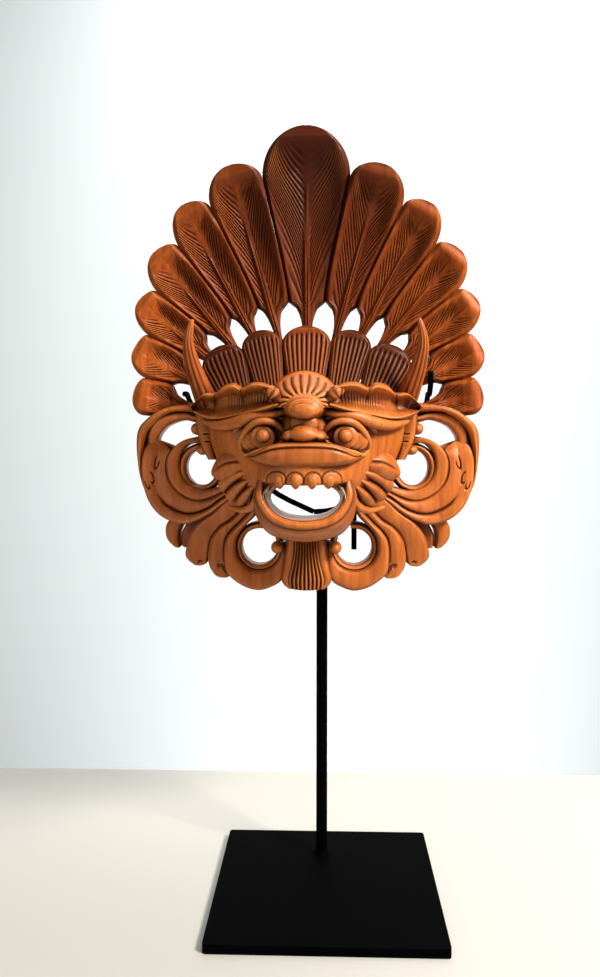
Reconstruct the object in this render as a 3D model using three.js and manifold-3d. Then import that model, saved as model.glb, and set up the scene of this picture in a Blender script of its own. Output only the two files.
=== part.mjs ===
// A carved wooden demon-lion mask resting in the wire cradle of a black steel stand.
// Millimetres, +Z up. The origin is the centre of the base plate's underside and the mask faces -Y.
import * as THREE from 'three';
import { mergeVertices } from 'three/addons/utils/BufferGeometryUtils.js';
import Module from 'manifold-3d';

const wasm = await Module();
wasm.setup();

// ---------------------------------------------------------------- driving dimensions

const plate = { side: 150, thickness: 6, cornerRadius: 2.5 };
const rod = { x: -3.5, y: 40, radius: 4, top: 255.7, flareRadius: 6.5, flareHeight: 3 };
const wire = { radius: 2, y: 38.5, low: 258, sides: 7 };
const hook = { x: 84.6, v: 30.2, prong: 15, lowerProng: 27 };
const fitGap = 0.3;
const bandOverlap = 0.4;

// The mask's own frame: x to the right, v up from the feathers' common centre, h forward from its back.
const mask = { x: -14, backY: 34, fanZ: 311 };

const crest = {
  angles: [0, 15.8, 28, 39.2, 51, 63.4, 76],
  tips: [200.5, 184, 174, 161, 147.5, 134, 124.5],
  valleyAngles: [9.6, 22.6, 33.9, 45.8, 57.2, 69.8, 82.2],
  notchAngles: [7.8, 20.8, 32.5, 44.2, 56, 68.5, 81],
  valleyRadii: [172, 164.5, 154, 142, 129.5, 119, 115],
  leans: [38, 34, 28, 22, 16, 11, 8],
  root: 58,
  stemEnd: 70,
  joinRadii: [93.5, 95, 97.5, 99.5, 101, 100, 90],
  stemHalfWidths: [3, 2.3, 2.3, 2.3, 2.3, 2.3, 2.3],
  baseHeight: 11,
  thickness: 8,
  edgeDrop: 2,
  rachis: 1.2,
  overlap: 0.35,
};

const shortFeathers = {
  angles: [0, 23.5, 44],
  tips: [74, 76, 82],
  halfWidths: [17, 13.5, 12.5],
  flutes: [7, 5, 5],
  root: 30,
  rootHeight: 56,
  tipHeight: 29,
  backHeight: 4,
  fluteDepth: 1.6,
};

const head = {
  halfWidth: 70,
  centre: 10,
  up: 30,
  down: 78,
  upPower: 2.5,
  downPower: 1.65,
  topCentre: -14,
  topHeight: 80,
  rimHeight: 8,
  wall: 8,
};

const mouth = { centre: -39, halfWidth: 20, halfHeight: 11 };
const jaw = { centre: -44, halfWidth: 34, halfHeight: 23, depth: 38, height: 52, wall: 7 };
const teeth = { places: [5.1, 14.9], top: -25, radius: 3.6, length: 7.5, height: 91 };

const colours = {
  wood: 0xa85a24,
  steel: 0x141414,
};

// ---------------------------------------------------------------- solids from rings of points

const place = (x, v, h) => [mask.x + x, mask.backY - h, mask.fanZ + v];

function signedVolume(positions, faces) {
  let total = 0;
  for (let i = 0; i < faces.length; i += 3) {
    const [a, b, c] = [0, 1, 2].map((k) => new THREE.Vector3().fromArray(positions, faces[i + k] * 3));
    total += a.dot(b.cross(c)) / 6;
  }
  return total;
}

function toSolid(positions, faces) {
  const turned = signedVolume(positions, faces) < 0;
  const triVerts = new Uint32Array(faces);
  if (turned) {
    triVerts.reverse();
  }
  const vertProperties = new Float32Array(positions);
  return new wasm.Manifold(new wasm.Mesh({ numProp: 3, vertProperties, triVerts }));
}

// Rings of equal length are skinned one to the next, and the first and last are closed by fans.
function loft(rings) {
  const count = rings[0].length;
  const positions = rings.flat(2);
  const faces = [];
  for (let i = 0; i + 1 < rings.length; i += 1) {
    for (let j = 0; j < count; j += 1) {
      const next = (j + 1) % count;
      const [a, b] = [i * count + j, i * count + next];
      const [c, d] = [a + count, b + count];
      faces.push(a, b, d, a, d, c);
    }
  }
  const closeEnd = (ring, first, turned) => {
    const hub = positions.length / 3;
    for (let k = 0; k < 3; k += 1) {
      positions.push(ring.reduce((sum, point) => sum + point[k], 0) / count);
    }
    for (let j = 0; j < count; j += 1) {
      const [a, b] = [first + j, first + ((j + 1) % count)];
      faces.push(...(turned ? [hub, b, a] : [hub, a, b]));
    }
  };
  closeEnd(rings[0], 0, true);
  closeEnd(rings.at(-1), (rings.length - 1) * count, false);
  return toSolid(positions, faces);
}

function fromGeometry(geometry) {
  geometry.deleteAttribute('normal');
  geometry.deleteAttribute('uv');
  const merged = mergeVertices(geometry, 1e-4);
  return toSolid(Array.from(merged.attributes.position.array), Array.from(merged.index.array));
}

const mirrored = (solid) => {
  const { vertProperties, triVerts } = solid.getMesh();
  const positions = Array.from(vertProperties, (value, i) => (i % 3 === 0 ? 2 * mask.x - value : value));
  return toSolid(positions, Array.from(triVerts));
};

const bothSides = (solid) => [solid, mirrored(solid)];

const steps = (count) => Array.from({ length: count + 1 }, (_, i) => i / count);

const spline = (points) => {
  const curve = new THREE.SplineCurve(points.map(([x, v]) => new THREE.Vector2(x, v)));
  return (s) => curve.getPoint(s).toArray();
};

const mix = (a, b, s) => a + (b - a) * s;

// A band of relief between two edge curves, each let out by bandOverlap so that neighbours grow
// together. front and back give the height along it, and section the rise across it, where t runs
// from 0 on the first edge to 1 on the second.
function band({ first, second, front, back, section, along = 8, across = 2 }) {
  const rings = steps(along).map((s) => {
    const [inner, outer] = [new THREE.Vector2(...first(s)), new THREE.Vector2(...second(s))];
    const letOut = outer.clone().sub(inner).setLength(bandOverlap);
    const [from, to] = [inner.sub(letOut).toArray(), outer.add(letOut).toArray()];
    const at = (t, h) => place(mix(from[0], to[0], t), mix(from[1], to[1], t), h);
    const top = steps(across).map((t) => at(t, front(s) + section(t, s)));
    return [...top, at(1, back(s)), at(0, back(s))];
  });
  return loft(rings);
}

const rounded = (rise) => (t) => rise * (Math.sin(Math.PI * t) ** 0.7 - 1);

const fluted = (count, depth) => (t) => -depth * Math.abs(Math.cos(Math.PI * count * t)) ** 2;

// A round bar along (x, v, h) points, with its radius given along its length.
function bar(points, radiusAt, along = 8, sides = 6) {
  const curve = new THREE.CatmullRomCurve3(points.map((p) => new THREE.Vector3(...place(...p))));
  const frames = curve.computeFrenetFrames(along, false);
  const rings = steps(along).map((s, i) => {
    const centre = curve.getPointAt(s);
    return steps(sides - 1).map((_, j) => {
      const angle = (2 * Math.PI * j) / sides;
      return centre
        .clone()
        .addScaledVector(frames.normals[i], Math.cos(angle) * radiusAt(s))
        .addScaledVector(frames.binormals[i], Math.sin(angle) * radiusAt(s))
        .toArray();
    });
  });
  return loft(rings);
}

function ball([x, v, h], [rx, rv, rh], around = 8, up = 6) {
  const geometry = new THREE.SphereGeometry(1, around, up);
  geometry.scale(rx, rh, rv);
  geometry.translate(...place(x, v, h));
  return fromGeometry(geometry);
}

// ---------------------------------------------------------------- crest of long feathers

// A feather is a thin stem up to the radius where it meets its neighbours, then follows the valleys
// between them, and ends in a round tip. side is 0 towards the middle of the crest and 1 away from it.
function featherHalfWidth(index, side) {
  const near = side === 0 ? Math.max(index - 1, 0) : index;
  const [join, valley, tip] = [crest.joinRadii[near], crest.valleyRadii[near], crest.tips[index]];
  const full = (r) => {
    const climbed = THREE.MathUtils.smoothstep(r, join, valley);
    const boundary = mix(crest.notchAngles[near], crest.valleyAngles[near], climbed);
    const spread = index === 0 ? boundary : Math.abs(boundary - crest.angles[index]);
    return r * Math.tan(THREE.MathUtils.degToRad(spread)) + crest.overlap;
  };
  return (r) => {
    if (r < join) {
      const opened = 1 - Math.sqrt(1 - Math.max(0, (r - crest.stemEnd) / (join - crest.stemEnd)) ** 2);
      return mix(crest.stemHalfWidths[index], full(join), opened);
    }
    const past = Math.max(0, (r - valley) / (tip - valley));
    return Math.max(0.8, full(Math.min(r, valley)) * Math.sqrt(Math.max(0, 1 - past ** 2)));
  };
}

function longFeather(index) {
  const tip = crest.tips[index];
  const near = [Math.max(index - 1, 0), index];
  const halfWidths = [featherHalfWidth(index, 0), featherHalfWidth(index, 1)];
  const joins = near.map((k) => crest.joinRadii[k]);
  const [start, joined] = [crest.stemEnd, Math.max(...joins)];
  const turned = Math.min(...near.map((k) => crest.valleyRadii[k]));
  const bend = (r) => crest.leans[index] * Math.max(0, (r - start) / (tip - start)) ** 1.6;
  const stem = [crest.root, start, mix(start, Math.min(...joins), 0.8), Math.min(...joins)];
  const vane = index < 3 ? [joined + 0.1, mix(joined, turned, 0.5)] : [joined + 0.1];
  const round = [0, 0.5, 0.82, 0.98].map((s) => mix(turned, tip, s));
  const turn = THREE.MathUtils.degToRad(crest.angles[index]);
  const rings = [...stem, ...vane, ...round].map((r) => {
    const point = (across, h) => {
      const w = across * halfWidths[across < 0 ? 0 : 1](r);
      return place(
        r * Math.sin(turn) + w * Math.cos(turn),
        r * Math.cos(turn) - w * Math.sin(turn),
        crest.baseHeight + bend(r) + h,
      );
    };
    const narrow = THREE.MathUtils.smoothstep(r, start, joined);
    const drop = crest.edgeDrop * narrow;
    return [
      point(-1, -drop),
      point(0, crest.rachis),
      point(1, -drop),
      point(1, -crest.thickness),
      point(-1, -crest.thickness),
    ];
  });
  return loft(rings);
}

function longFeathers() {
  const solids = [longFeather(0)];
  for (let i = 1; i < crest.angles.length; i += 1) {
    solids.push(...bothSides(longFeather(i)));
  }
  return solids;
}

// Fluted shells that stand in front of the stems: narrow at the brow, widest near their round tips.
function shortFeather(index) {
  const { root, rootHeight, tipHeight, backHeight, fluteDepth } = shortFeathers;
  const turn = THREE.MathUtils.degToRad(shortFeathers.angles[index]);
  const tip = shortFeathers.tips[index];
  const half = shortFeathers.halfWidths[index];
  const across = shortFeathers.flutes[index] * 2;
  const shoulder = tip - half * 0.75;
  const stations = [root, shoulder];
  stations.push(...[0.5, 0.82, 0.98].map((s) => mix(shoulder, tip, s)));
  const rings = stations.map((r) => {
    const past = Math.max(0, (r - shoulder) / (tip - shoulder));
    const width = mix(half * 0.62, half, Math.min(1, (r - root) / (shoulder - root)));
    const w = width * Math.sqrt(1 - past ** 2);
    const reach = (r - root) / (tip - root);
    const height = mix(rootHeight, tipHeight, reach ** 0.6);
    const point = (t, h) => {
      const sideways = mix(-w, w, t);
      const x = r * Math.sin(turn) + sideways * Math.cos(turn);
      return place(x, r * Math.cos(turn) - sideways * Math.sin(turn), h);
    };
    const flute = fluted(shortFeathers.flutes[index], fluteDepth * (1 - past));
    const crown = (t) => 3 * Math.sin(Math.PI * t) - 3;
    const top = steps(across).map((t) => point(t, height + flute(t) + crown(t)));
    return [...top, point(1, backHeight), point(0, backHeight)];
  });
  return loft(rings);
}

function shortFeatherRow() {
  const solids = [shortFeather(0)];
  for (let i = 1; i < shortFeathers.angles.length; i += 1) {
    solids.push(...bothSides(shortFeather(i)));
  }
  return solids;
}

// ---------------------------------------------------------------- head, hollow behind

const signedPower = (value, power) => Math.sign(value) * Math.abs(value) ** power;

// The head is a stack of egg-shaped outlines. inset shrinks it all round for the hollow.
function headShape(inset, backHeight, around = 20) {
  const outline = (share, h) => steps(around - 1).map((_, j) => {
    const angle = (2 * Math.PI * j) / around;
    const power = Math.sin(angle) > 0 ? head.upPower : head.downPower;
    const reach = (Math.sin(angle) > 0 ? head.up : head.down) - inset;
    const centre = mix(head.topCentre, head.centre, share);
    const x = (head.halfWidth - inset) * signedPower(Math.cos(angle), 2 / power);
    return place(share * x, centre + share * reach * signedPower(Math.sin(angle), 2 / power), h);
  });
  const levels = [1, 0.95, 0.82, 0.64, 0.42, 0.2];
  const height = (share) => mix(head.rimHeight, head.topHeight - inset, (1 - share ** 2.4) ** 0.72);
  return loft([outline(1, backHeight), ...levels.map((share) => outline(share, height(share)))]);
}

function jawShape(inset) {
  const { centre, halfWidth, halfHeight, depth, height } = jaw;
  return ball([0, centre, height], [halfWidth - inset, halfHeight - inset, depth - inset], 14, 7);
}

function mouthHole() {
  const outline = (h) => steps(15).map((_, j) => {
    const angle = (2 * Math.PI * j) / 16;
    return place(mouth.halfWidth * Math.cos(angle), mouth.centre + mouth.halfHeight * Math.sin(angle), h);
  });
  return loft([outline(-10), outline(120)]);
}

// ---------------------------------------------------------------- features of the face

function brow() {
  const lobes = (t, s) => 2.2 * Math.abs(Math.sin(4 * Math.PI * s)) * t + 5 * (Math.sin(Math.PI * t) - 1);
  return band({
    first: spline([[15, 19], [22, 18], [34, 16], [48, 12], [60, 10], [71, 15]]),
    second: spline([[15, 29], [22, 32], [33, 34], [46, 34], [60, 29], [73, 20]]),
    front: (s) => mix(86, 42, s ** 1.3),
    back: (s) => mix(50, 20, s),
    section: lobes,
    along: 12,
  });
}

function foreheadFan() {
  const radius = (s) => 19 * Math.sin(Math.PI * s) ** 0.15;
  const spoke = (share) => (s) => {
    const angle = mix(-0.12, 1.12, s) * Math.PI;
    return [share * radius(mix(0.02, 0.98, s)) * Math.cos(angle), 20 + share * radius(0.5) * Math.sin(angle)];
  };
  return band({
    first: spoke(0.1),
    second: spoke(1),
    front: () => 88,
    back: () => 55,
    section: (t, s) => 1.2 * Math.cos(2 * Math.PI * 9 * s) * t - 9 * t ** 2,
    along: 18,
    across: 2,
  });
}

function eye() {
  return ball([25, 0, 76], [9, 8.5, 9], 9, 5);
}

function pupil() {
  return ball([25, 0, 84], [4.2, 4.2, 4], 8, 4);
}

function upperLid() {
  const path = [[11, 3, 78], [17, 8.5, 80], [25, 10, 80], [34, 5.5, 77], [41, -5, 70]];
  return bar(path, (s) => 1.6 + 1.2 * Math.sin(Math.PI * s), 6, 5);
}

function lowerLid() {
  const path = [[11, 3, 78], [15, -5, 80], [24, -10, 79], [34, -11, 75], [41, -5, 70]];
  return bar(path, (s) => 1.4 + 0.8 * Math.sin(Math.PI * s), 6, 5);
}

function nose() {
  const wing = ball([7.5, 1.5, 88], [6, 5, 8], 8, 5);
  const tip = ball([0, 3.5, 90], [7, 5.5, 9], 10, 5);
  const bridge = bar([[0, 4, 86], [0, 11, 86], [0, 18, 82]], (s) => mix(6, 8, s), 3, 8);
  return [tip, bridge, ...bothSides(wing)];
}

function upperLip() {
  return band({
    first: spline([[-37, -8], [-26, -8], [-17, -4.5], [0, -4], [17, -4.5], [26, -8], [37, -8]]),
    second: spline([[-36, -10], [-28, -15], [-17, -18], [0, -18.5], [17, -18], [28, -15], [36, -10]]),
    front: (s) => 76 + 23 * Math.sin(Math.PI * s) ** 0.8,
    back: () => 60,
    section: (t, s) => -4 * Math.sin(Math.PI * s) * (1 - Math.sin(Math.PI * t)),
    along: 12,
  });
}

function upperJaw() {
  return band({
    first: spline([[-31, -12], [-16, -14], [0, -15], [16, -14], [31, -12]]),
    second: spline([[-31, -27], [-16, -29.5], [0, -30], [16, -29.5], [31, -27]]),
    front: (s) => 66 + 26 * Math.sin(Math.PI * s) ** 0.6,
    back: () => 58,
    section: () => 0,
    along: 8,
    across: 1,
  });
}

function tooth(x) {
  const { top, radius, length, height } = teeth;
  const bend = (x / jaw.halfWidth) ** 2 * 10;
  const root = [x, top, height - bend - 3];
  const point = [x, top - length, height - bend - 4];
  return bar([root, point], (s) => radius * (1 - 0.86 * s ** 1.7), 3, 6);
}

function lowerLip() {
  const path = [[29, -26, 72], [30, -39, 76], [22, -50, 82], [0, -54, 85]];
  const half = bar(path, () => 4, 6);
  return bothSides(half);
}

function horn() {
  const path = [[66, 22, 38], [71, 38, 44], [74.5, 56, 52], [72.5, 74, 58]];
  return bar(path, (s) => 7.6 * (1 - s) ** 0.75 + 0.7, 6, 7);
}

function cheekLeaf() {
  const lobe = (edges, height, rise) => band({
    first: spline(edges[0]),
    second: spline(edges[1]),
    front: (s) => mix(height, height - 14, s),
    back: () => 24,
    section: (t, s) => rise * (Math.sin(Math.PI * t) - 1) + 2 * Math.sin(Math.PI * s),
    along: 5,
  });
  const upper = lobe([[[36, -9], [48, -8], [57, -13], [63.5, -20]], [[37, -24], [46, -24], [55, -24], [62, -22]]], 62, 5);
  const middle = lobe([[[35, -22], [46, -22], [54, -25], [58, -30]], [[36, -36], [45, -36], [53, -36], [57, -32]]], 63, 5);
  const lower = lobe([[[33, -33], [42, -33], [48, -34], [54, -38]], [[34, -45], [40, -47], [47, -47], [52, -42]]], 60, 5);
  return [upper, middle, lower];
}

// ---------------------------------------------------------------- side scrolls

const ellipsePoint = ([cx, cv], rx, rv, from, to) => (s) => {
  const angle = THREE.MathUtils.degToRad(mix(from, to, s));
  return [cx + rx * Math.cos(angle), cv + rv * Math.sin(angle)];
};

function sideScroll() {
  const hole = [73.6, -20.7];
  const ribs = band({
    first: spline([[52, -29], [64, -34], [77, -37], [85.5, -32], [89, -23], [87.5, -13], [91, -6]]),
    second: spline([[44, -38], [64, -51], [84, -60.5], [103, -53], [113, -41], [117, -22], [118.5, -2]]),
    front: (s) => mix(26, 16, s),
    back: () => 3,
    section: fluted(3, 3),
    along: 10,
    across: 6,
  });
  const ring = band({
    first: ellipsePoint(hole, 11.5, 13, -150, 128),
    second: ellipsePoint(hole, 16, 17.5, -150, 128),
    front: () => 19,
    back: () => 4,
    section: rounded(3),
    along: 12,
  });
  const arch = band({
    first: spline([[103.5, -4], [99.5, 6.5], [93.6, 10.6], [86, 12.3], [74, 10]]),
    second: spline([[118.5, -4], [117.5, 6], [112, 14.5], [103, 19.5], [92, 22], [76, 23]]),
    front: (s) => mix(14, 20, s),
    back: () => 3,
    section: fluted(2, 3),
    along: 8,
    across: 4,
  });
  const nubs = [ball([70, 5, 17], [6, 4.5, 9], 6, 4), ball([66, -7, 18], [6, 4, 10], 6, 4)];
  return [ribs, ring, arch, ...nubs];
}

// ---------------------------------------------------------------- lower leaves, rings and beard

function lowerLeaves() {
  const grooveOne = [[40, -40], [54, -57], [62, -65], [66.5, -73], [68.5, -83], [69, -90]];
  const grooveTwo = [[36, -44], [47, -58.5], [54, -67], [57, -76], [57, -86], [53, -98]];
  const outer = band({
    first: spline([[48, -36], [66, -52], [75, -60], [82, -72], [84.5, -83], [78, -91]]),
    second: spline(grooveOne),
    front: (s) => mix(24, 16, s),
    back: () => 4,
    section: rounded(4),
  });
  const inner = band({
    first: spline(grooveOne.slice(0, 5).concat([[64, -98]])),
    second: spline(grooveTwo),
    front: (s) => mix(26, 20, s),
    back: () => 5,
    section: rounded(4),
  });
  const folded = band({
    first: spline([[80, -52], [94, -56], [101, -64], [99, -74]]),
    second: spline([[74, -58], [79, -66], [84, -74], [91, -77.5]]),
    front: () => 10,
    back: () => 2,
    section: rounded(3),
    along: 5,
  });
  const ringHole = [32.8, -75.6];
  const ring = band({
    first: spline([[34, -50], [47, -58.5], [57, -72], [56.5, -88], [46, -102], [32.8, -105.5], [20, -100.5], [13.5, -88], [15, -70]]),
    second: ellipsePoint(ringHole, 13, 13.3, 78, -205),
    front: (s) => mix(27, 24, s),
    back: () => 6,
    section: rounded(3.5),
    along: 12,
  });
  const knob = ball([19.4, -72, 27], [4.6, 4.6, 8], 6, 4);
  return [outer, inner, folded, ring, knob];
}

function beard() {
  const edge = (side) => spline([
    [side * 12, -60],
    [side * 12.5, -74],
    [side * 14, -90],
    [side * 15.5, -100],
    [side * 9, -104.5],
    [side * 3, -107],
  ]);
  return band({
    first: edge(-1),
    second: edge(1),
    front: (s) => mix(34, 27, s),
    back: () => 6,
    section: (t) => fluted(7, 1.6)(t) + 4 * (Math.sin(Math.PI * t) - 1),
    along: 5,
    across: 14,
  });
}

// ---------------------------------------------------------------- the mask as one piece of wood

// The cuts can shave off crumbs, which are dropped.
function largestBody(solid) {
  return solid.decompose().reduce((best, body) => (body.volume() > best.volume() ? body : best));
}

function carvedMask() {
  const solids = [
    ...longFeathers(),
    ...shortFeatherRow(),
    headShape(0, 0),
    jawShape(0),
    foreheadFan(),
    ...nose(),
    upperLip(),
    upperJaw(),
    ...lowerLip(),
    beard(),
  ];
  const pairs = [brow(), eye(), pupil(), upperLid(), lowerLid(), horn()];
  pairs.push(...cheekLeaf(), ...sideScroll(), ...lowerLeaves());
  solids.push(...pairs.flatMap(bothSides));
  const block = wasm.Manifold.union(solids);
  const open = block.subtract(headShape(head.wall, -5)).subtract(jawShape(jaw.wall));
  const withTeeth = wasm.Manifold.union(teeth.places.flatMap((x) => bothSides(tooth(x))));
  return largestBody(open.subtract(mouthHole()).add(withTeeth));
}

// ---------------------------------------------------------------- stand

function basePlate() {
  const half = plate.side / 2;
  const r = plate.cornerRadius;
  const outline = new THREE.Shape();
  outline.moveTo(-half + r, -half);
  outline.lineTo(half - r, -half);
  outline.absarc(half - r, -half + r, r, -Math.PI / 2, 0, false);
  outline.lineTo(half, half - r);
  outline.absarc(half - r, half - r, r, 0, Math.PI / 2, false);
  outline.lineTo(-half + r, half);
  outline.absarc(-half + r, half - r, r, Math.PI / 2, Math.PI, false);
  outline.lineTo(-half, -half + r);
  outline.absarc(-half + r, -half + r, r, Math.PI, 1.5 * Math.PI, false);
  const geometry = new THREE.ExtrudeGeometry(outline, {
    depth: plate.thickness,
    bevelEnabled: false,
    curveSegments: 3,
  });
  return fromGeometry(geometry);
}

function upright() {
  const foot = plate.thickness + fitGap;
  const profile = [
    [0, foot],
    [rod.flareRadius, foot],
    [rod.radius + 0.8, foot + rod.flareHeight * 0.5],
    [rod.radius, foot + rod.flareHeight],
    [rod.radius, rod.top],
    [0, rod.top],
  ];
  const geometry = new THREE.LatheGeometry(profile.map(([r, z]) => new THREE.Vector2(r, z)), 16);
  geometry.rotateX(Math.PI / 2);
  geometry.translate(rod.x, rod.y, 0);
  return fromGeometry(geometry);
}

// A wire along (x, y, z) points in the stand's frame, with flat ends.
function wireAlong(points, along) {
  const curve = new THREE.CatmullRomCurve3(points.map((p) => new THREE.Vector3(...p)), false, 'centripetal');
  const corners = steps(wire.sides - 1).map((_, i) => (2 * Math.PI * i) / wire.sides);
  const section = new THREE.Shape(
    corners.map((angle) => new THREE.Vector2(Math.cos(angle), Math.sin(angle)).multiplyScalar(wire.radius)),
  );
  const geometry = new THREE.ExtrudeGeometry(section, {
    steps: along,
    extrudePath: curve,
    bevelEnabled: false,
  });
  return fromGeometry(geometry);
}

function cradle() {
  const front = mask.backY - crest.baseHeight - crest.rachis - wire.radius - 3.4;
  const hookZ = mask.fanZ + hook.v;
  const rise = hookZ - wire.low;
  const across = (side, share) => mix(rod.x, mask.x + side * hook.x, share);
  const prongTop = [across(1, 0.31), wire.y, wire.low + rise * 0.09];
  const sideBend = [across(-1, 0.36), wire.y, wire.low + rise * 0.17];
  const lowest = [rod.x - 6, wire.y, wire.low];
  const rising = (side) => [
    [across(side, 0.68), wire.y, wire.low + rise * 0.5],
    [mask.x + side * hook.x, wire.y, hookZ - 5],
    [mask.x + side * hook.x, wire.y - 5, hookZ],
  ];
  const frontHook = [
    lowest,
    [rod.x + 2, wire.y, wire.low + 0.4],
    prongTop,
    ...rising(1),
    [mask.x + hook.x, front + 5, hookZ],
    [mask.x + hook.x, front, hookZ + 5],
    [mask.x + hook.x, front, hookZ + hook.prong],
  ];
  const sideHook = [
    lowest,
    sideBend,
    ...rising(-1),
    [mask.x - hook.x, front + 6, hookZ],
    [mask.x - hook.x, front + 2, hookZ],
  ];
  const arms = [wireAlong(frontHook, 17), wireAlong(sideHook, 15)];
  const prong = wireAlong([prongTop, [prongTop[0], wire.y, wire.low - hook.lowerProng]], 1);
  return wasm.Manifold.union([...arms, prong]);
}

// ---------------------------------------------------------------- scene graph

function meshOf(name, solid, material) {
  const { vertProperties, triVerts } = solid.getMesh();
  const geometry = new THREE.BufferGeometry();
  geometry.setAttribute('position', new THREE.BufferAttribute(vertProperties, 3));
  geometry.setIndex(new THREE.BufferAttribute(triVerts, 1));
  geometry.computeVertexNormals();
  const mesh = new THREE.Mesh(geometry, material);
  mesh.name = name;
  return mesh;
}

const wood = new THREE.MeshStandardMaterial({ color: colours.wood, roughness: 0.45, metalness: 0 });
const steel = new THREE.MeshStandardMaterial({ color: colours.steel, roughness: 0.5, metalness: 0.3 });

const group = new THREE.Group();
group.add(meshOf('mask', carvedMask(), wood));
group.add(meshOf('base_plate', basePlate(), steel));
group.add(meshOf('upright', upright(), steel));
group.add(meshOf('cradle', cradle(), steel));

export default group;
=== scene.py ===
"""Carved wooden demon-lion mask on its black steel stand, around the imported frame.

The mask is worked out in its own frame, in millimetres: x to the right, v up from the common centre
of the feathers, h forward from the flat of its back. put() turns those into metres in the shared frame.
Every carved form is a loft: a closed ring of points carried along the form, with both ends closed or
joined to each other. Along a form s runs from 0 to 1, and across it t does.
"""

import math

import bpy
import numpy as np
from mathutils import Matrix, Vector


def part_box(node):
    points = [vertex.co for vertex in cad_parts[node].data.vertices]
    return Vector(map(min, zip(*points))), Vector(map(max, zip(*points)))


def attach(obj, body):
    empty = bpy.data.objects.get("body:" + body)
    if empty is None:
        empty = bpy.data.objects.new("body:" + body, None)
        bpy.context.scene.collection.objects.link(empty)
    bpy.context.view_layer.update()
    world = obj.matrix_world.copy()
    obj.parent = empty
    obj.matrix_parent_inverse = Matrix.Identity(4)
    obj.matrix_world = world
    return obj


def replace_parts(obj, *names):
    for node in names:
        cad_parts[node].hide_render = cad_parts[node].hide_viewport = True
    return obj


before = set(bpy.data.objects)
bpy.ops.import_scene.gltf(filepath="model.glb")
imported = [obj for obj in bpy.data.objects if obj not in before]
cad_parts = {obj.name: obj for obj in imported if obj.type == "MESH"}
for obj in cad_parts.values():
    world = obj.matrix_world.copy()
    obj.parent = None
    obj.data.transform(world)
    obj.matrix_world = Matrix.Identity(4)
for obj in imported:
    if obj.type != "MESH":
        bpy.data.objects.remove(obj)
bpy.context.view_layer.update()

# ---------------------------------------------------------------- driving dimensions

# Lengths are in millimetres and angles in degrees. The beard reaches BEARD_REACH below the common
# centre of the feathers.

BEARD_REACH = 107.0
MASK_LOW, MASK_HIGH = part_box("mask")
MASK_X = 500.0 * (MASK_LOW[0] + MASK_HIGH[0])
BACK_Y = 1000.0 * MASK_HIGH[1]
FAN_Z = 1000.0 * MASK_LOW[2] + BEARD_REACH

# The long feathers, from the middle one down one side. Angles are from straight up, and radii are
# from the common centre. A feather's tip comes forward by its lean. Two neighbours touch from the
# join, which lies at the notch's angle, out to the valley between their tips.

FEATHER_ANGLES = (0, 15.8, 28, 39.2, 51, 63.4, 76)
FEATHER_TIPS = (200.5, 184, 174, 161, 147.5, 134, 124.5)
LEANS = (38, 34, 28, 22, 16, 11, 8)
NOTCH_ANGLES = (7.8, 20.8, 32.5, 44.2, 56, 68.5, 81)
JOIN_RADII = (93.5, 95, 97.5, 99.5, 101, 100, 90)
VALLEY_ANGLES = (9.6, 22.6, 33.9, 45.8, 57.2, 69.8, 82.2)
VALLEY_RADII = (172, 164.5, 154, 142, 129.5, 119, 115)
STEM_HALF_WIDTHS = (3, 2.3, 2.3, 2.3, 2.3, 2.3, 2.3)
FEATHER_ROOT, STEM_END, FLARE_END = 58.0, 70.0, 84.0
FEATHER_HEIGHT, FEATHER_THICKNESS, LEAST_FEATHER = 11.0, 8.0, 1.6
DISH_DEPTHS = (1.0, 7.0)
RIM_ROLL, NOTCH_DEPTH = 3.4, 2.5
RACHIS_RISE, RACHIS_HALF_WIDTH, RACHIS_SPLIT = 1.7, 1.75, 0.45
MOAT_DEPTH, MOAT_PLACE, MOAT_WIDTH = 0.7, 2.6, 0.7
BARB_ANGLE, BARB_PITCH, BARB_DEPTH = 22.0, 4.6, 1.0
BARB_SAMPLES = 9

# The short feathers, from the middle one to one side, each with a root line of its own.

SHORT_ANGLES = (0, 12, 23)
SHORT_CENTRES = (0.0, 17.0, 34.0)
SHORT_TIPS = (75, 73.5, 66.5)
SHORT_HALF_WIDTHS = (16.5, 13.5, 15.5)
SHORT_FLUTES = (10, 9, 9)
SHORT_ROOT, SHORT_HEIGHTS = 24.0, (56.0, 29.0)

# The head is a dome whose outline is a superellipse, fuller above its centre than below it.

HEAD_HALF_WIDTH = 70.0
HEAD_CENTRE, HEAD_UP, HEAD_DOWN = 10.0, 30.0, 78.0
HEAD_TOP_CENTRE, HEAD_TOP, HEAD_RIM = -14.0, 74.0, 8.0
HEAD_WALL = 8.0
HEAD_POWER_UP, HEAD_POWER_DOWN = 2.5, 1.65
MUZZLE_RISE, SOCKET_DEPTH = 13.0, 4.0
TEETH_X = (-14.8, -4.95, 4.95, 14.8)
MOUTH = {"centre": -39.5, "half_width": 24.5, "half_height": 13.5}
MOUTH_NARROWING = 0.93

# A form over the hollow keeps HOLLOW_GAP clear of its roof, and is at least LEAST_WOOD thick there, or
# ROOT_WOOD at the root of a feather. The roof ends at WALL_SHARE of the way out to the wall.

HOLLOW_GAP, WALL_SHARE = 2.0, 0.98
LEAST_WOOD, ROOT_WOOD = 1.0, 1.5
RIM_LET_OUT = 0.4
SEAM_HEIGHT, SEAM_RADIUS = 6.2, 2.9

# ---------------------------------------------------------------- helpers on arrays


def put(x, v, h):
    """Millimetres in the mask's own frame to metres in the shared frame."""
    x, v, h = np.broadcast_arrays(x, v, h)
    return np.stack([MASK_X + x, BACK_Y - h, FAN_Z + v], axis=-1) / 1000.0


def mix(a, b, s):
    return a + (b - a) * s


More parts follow.
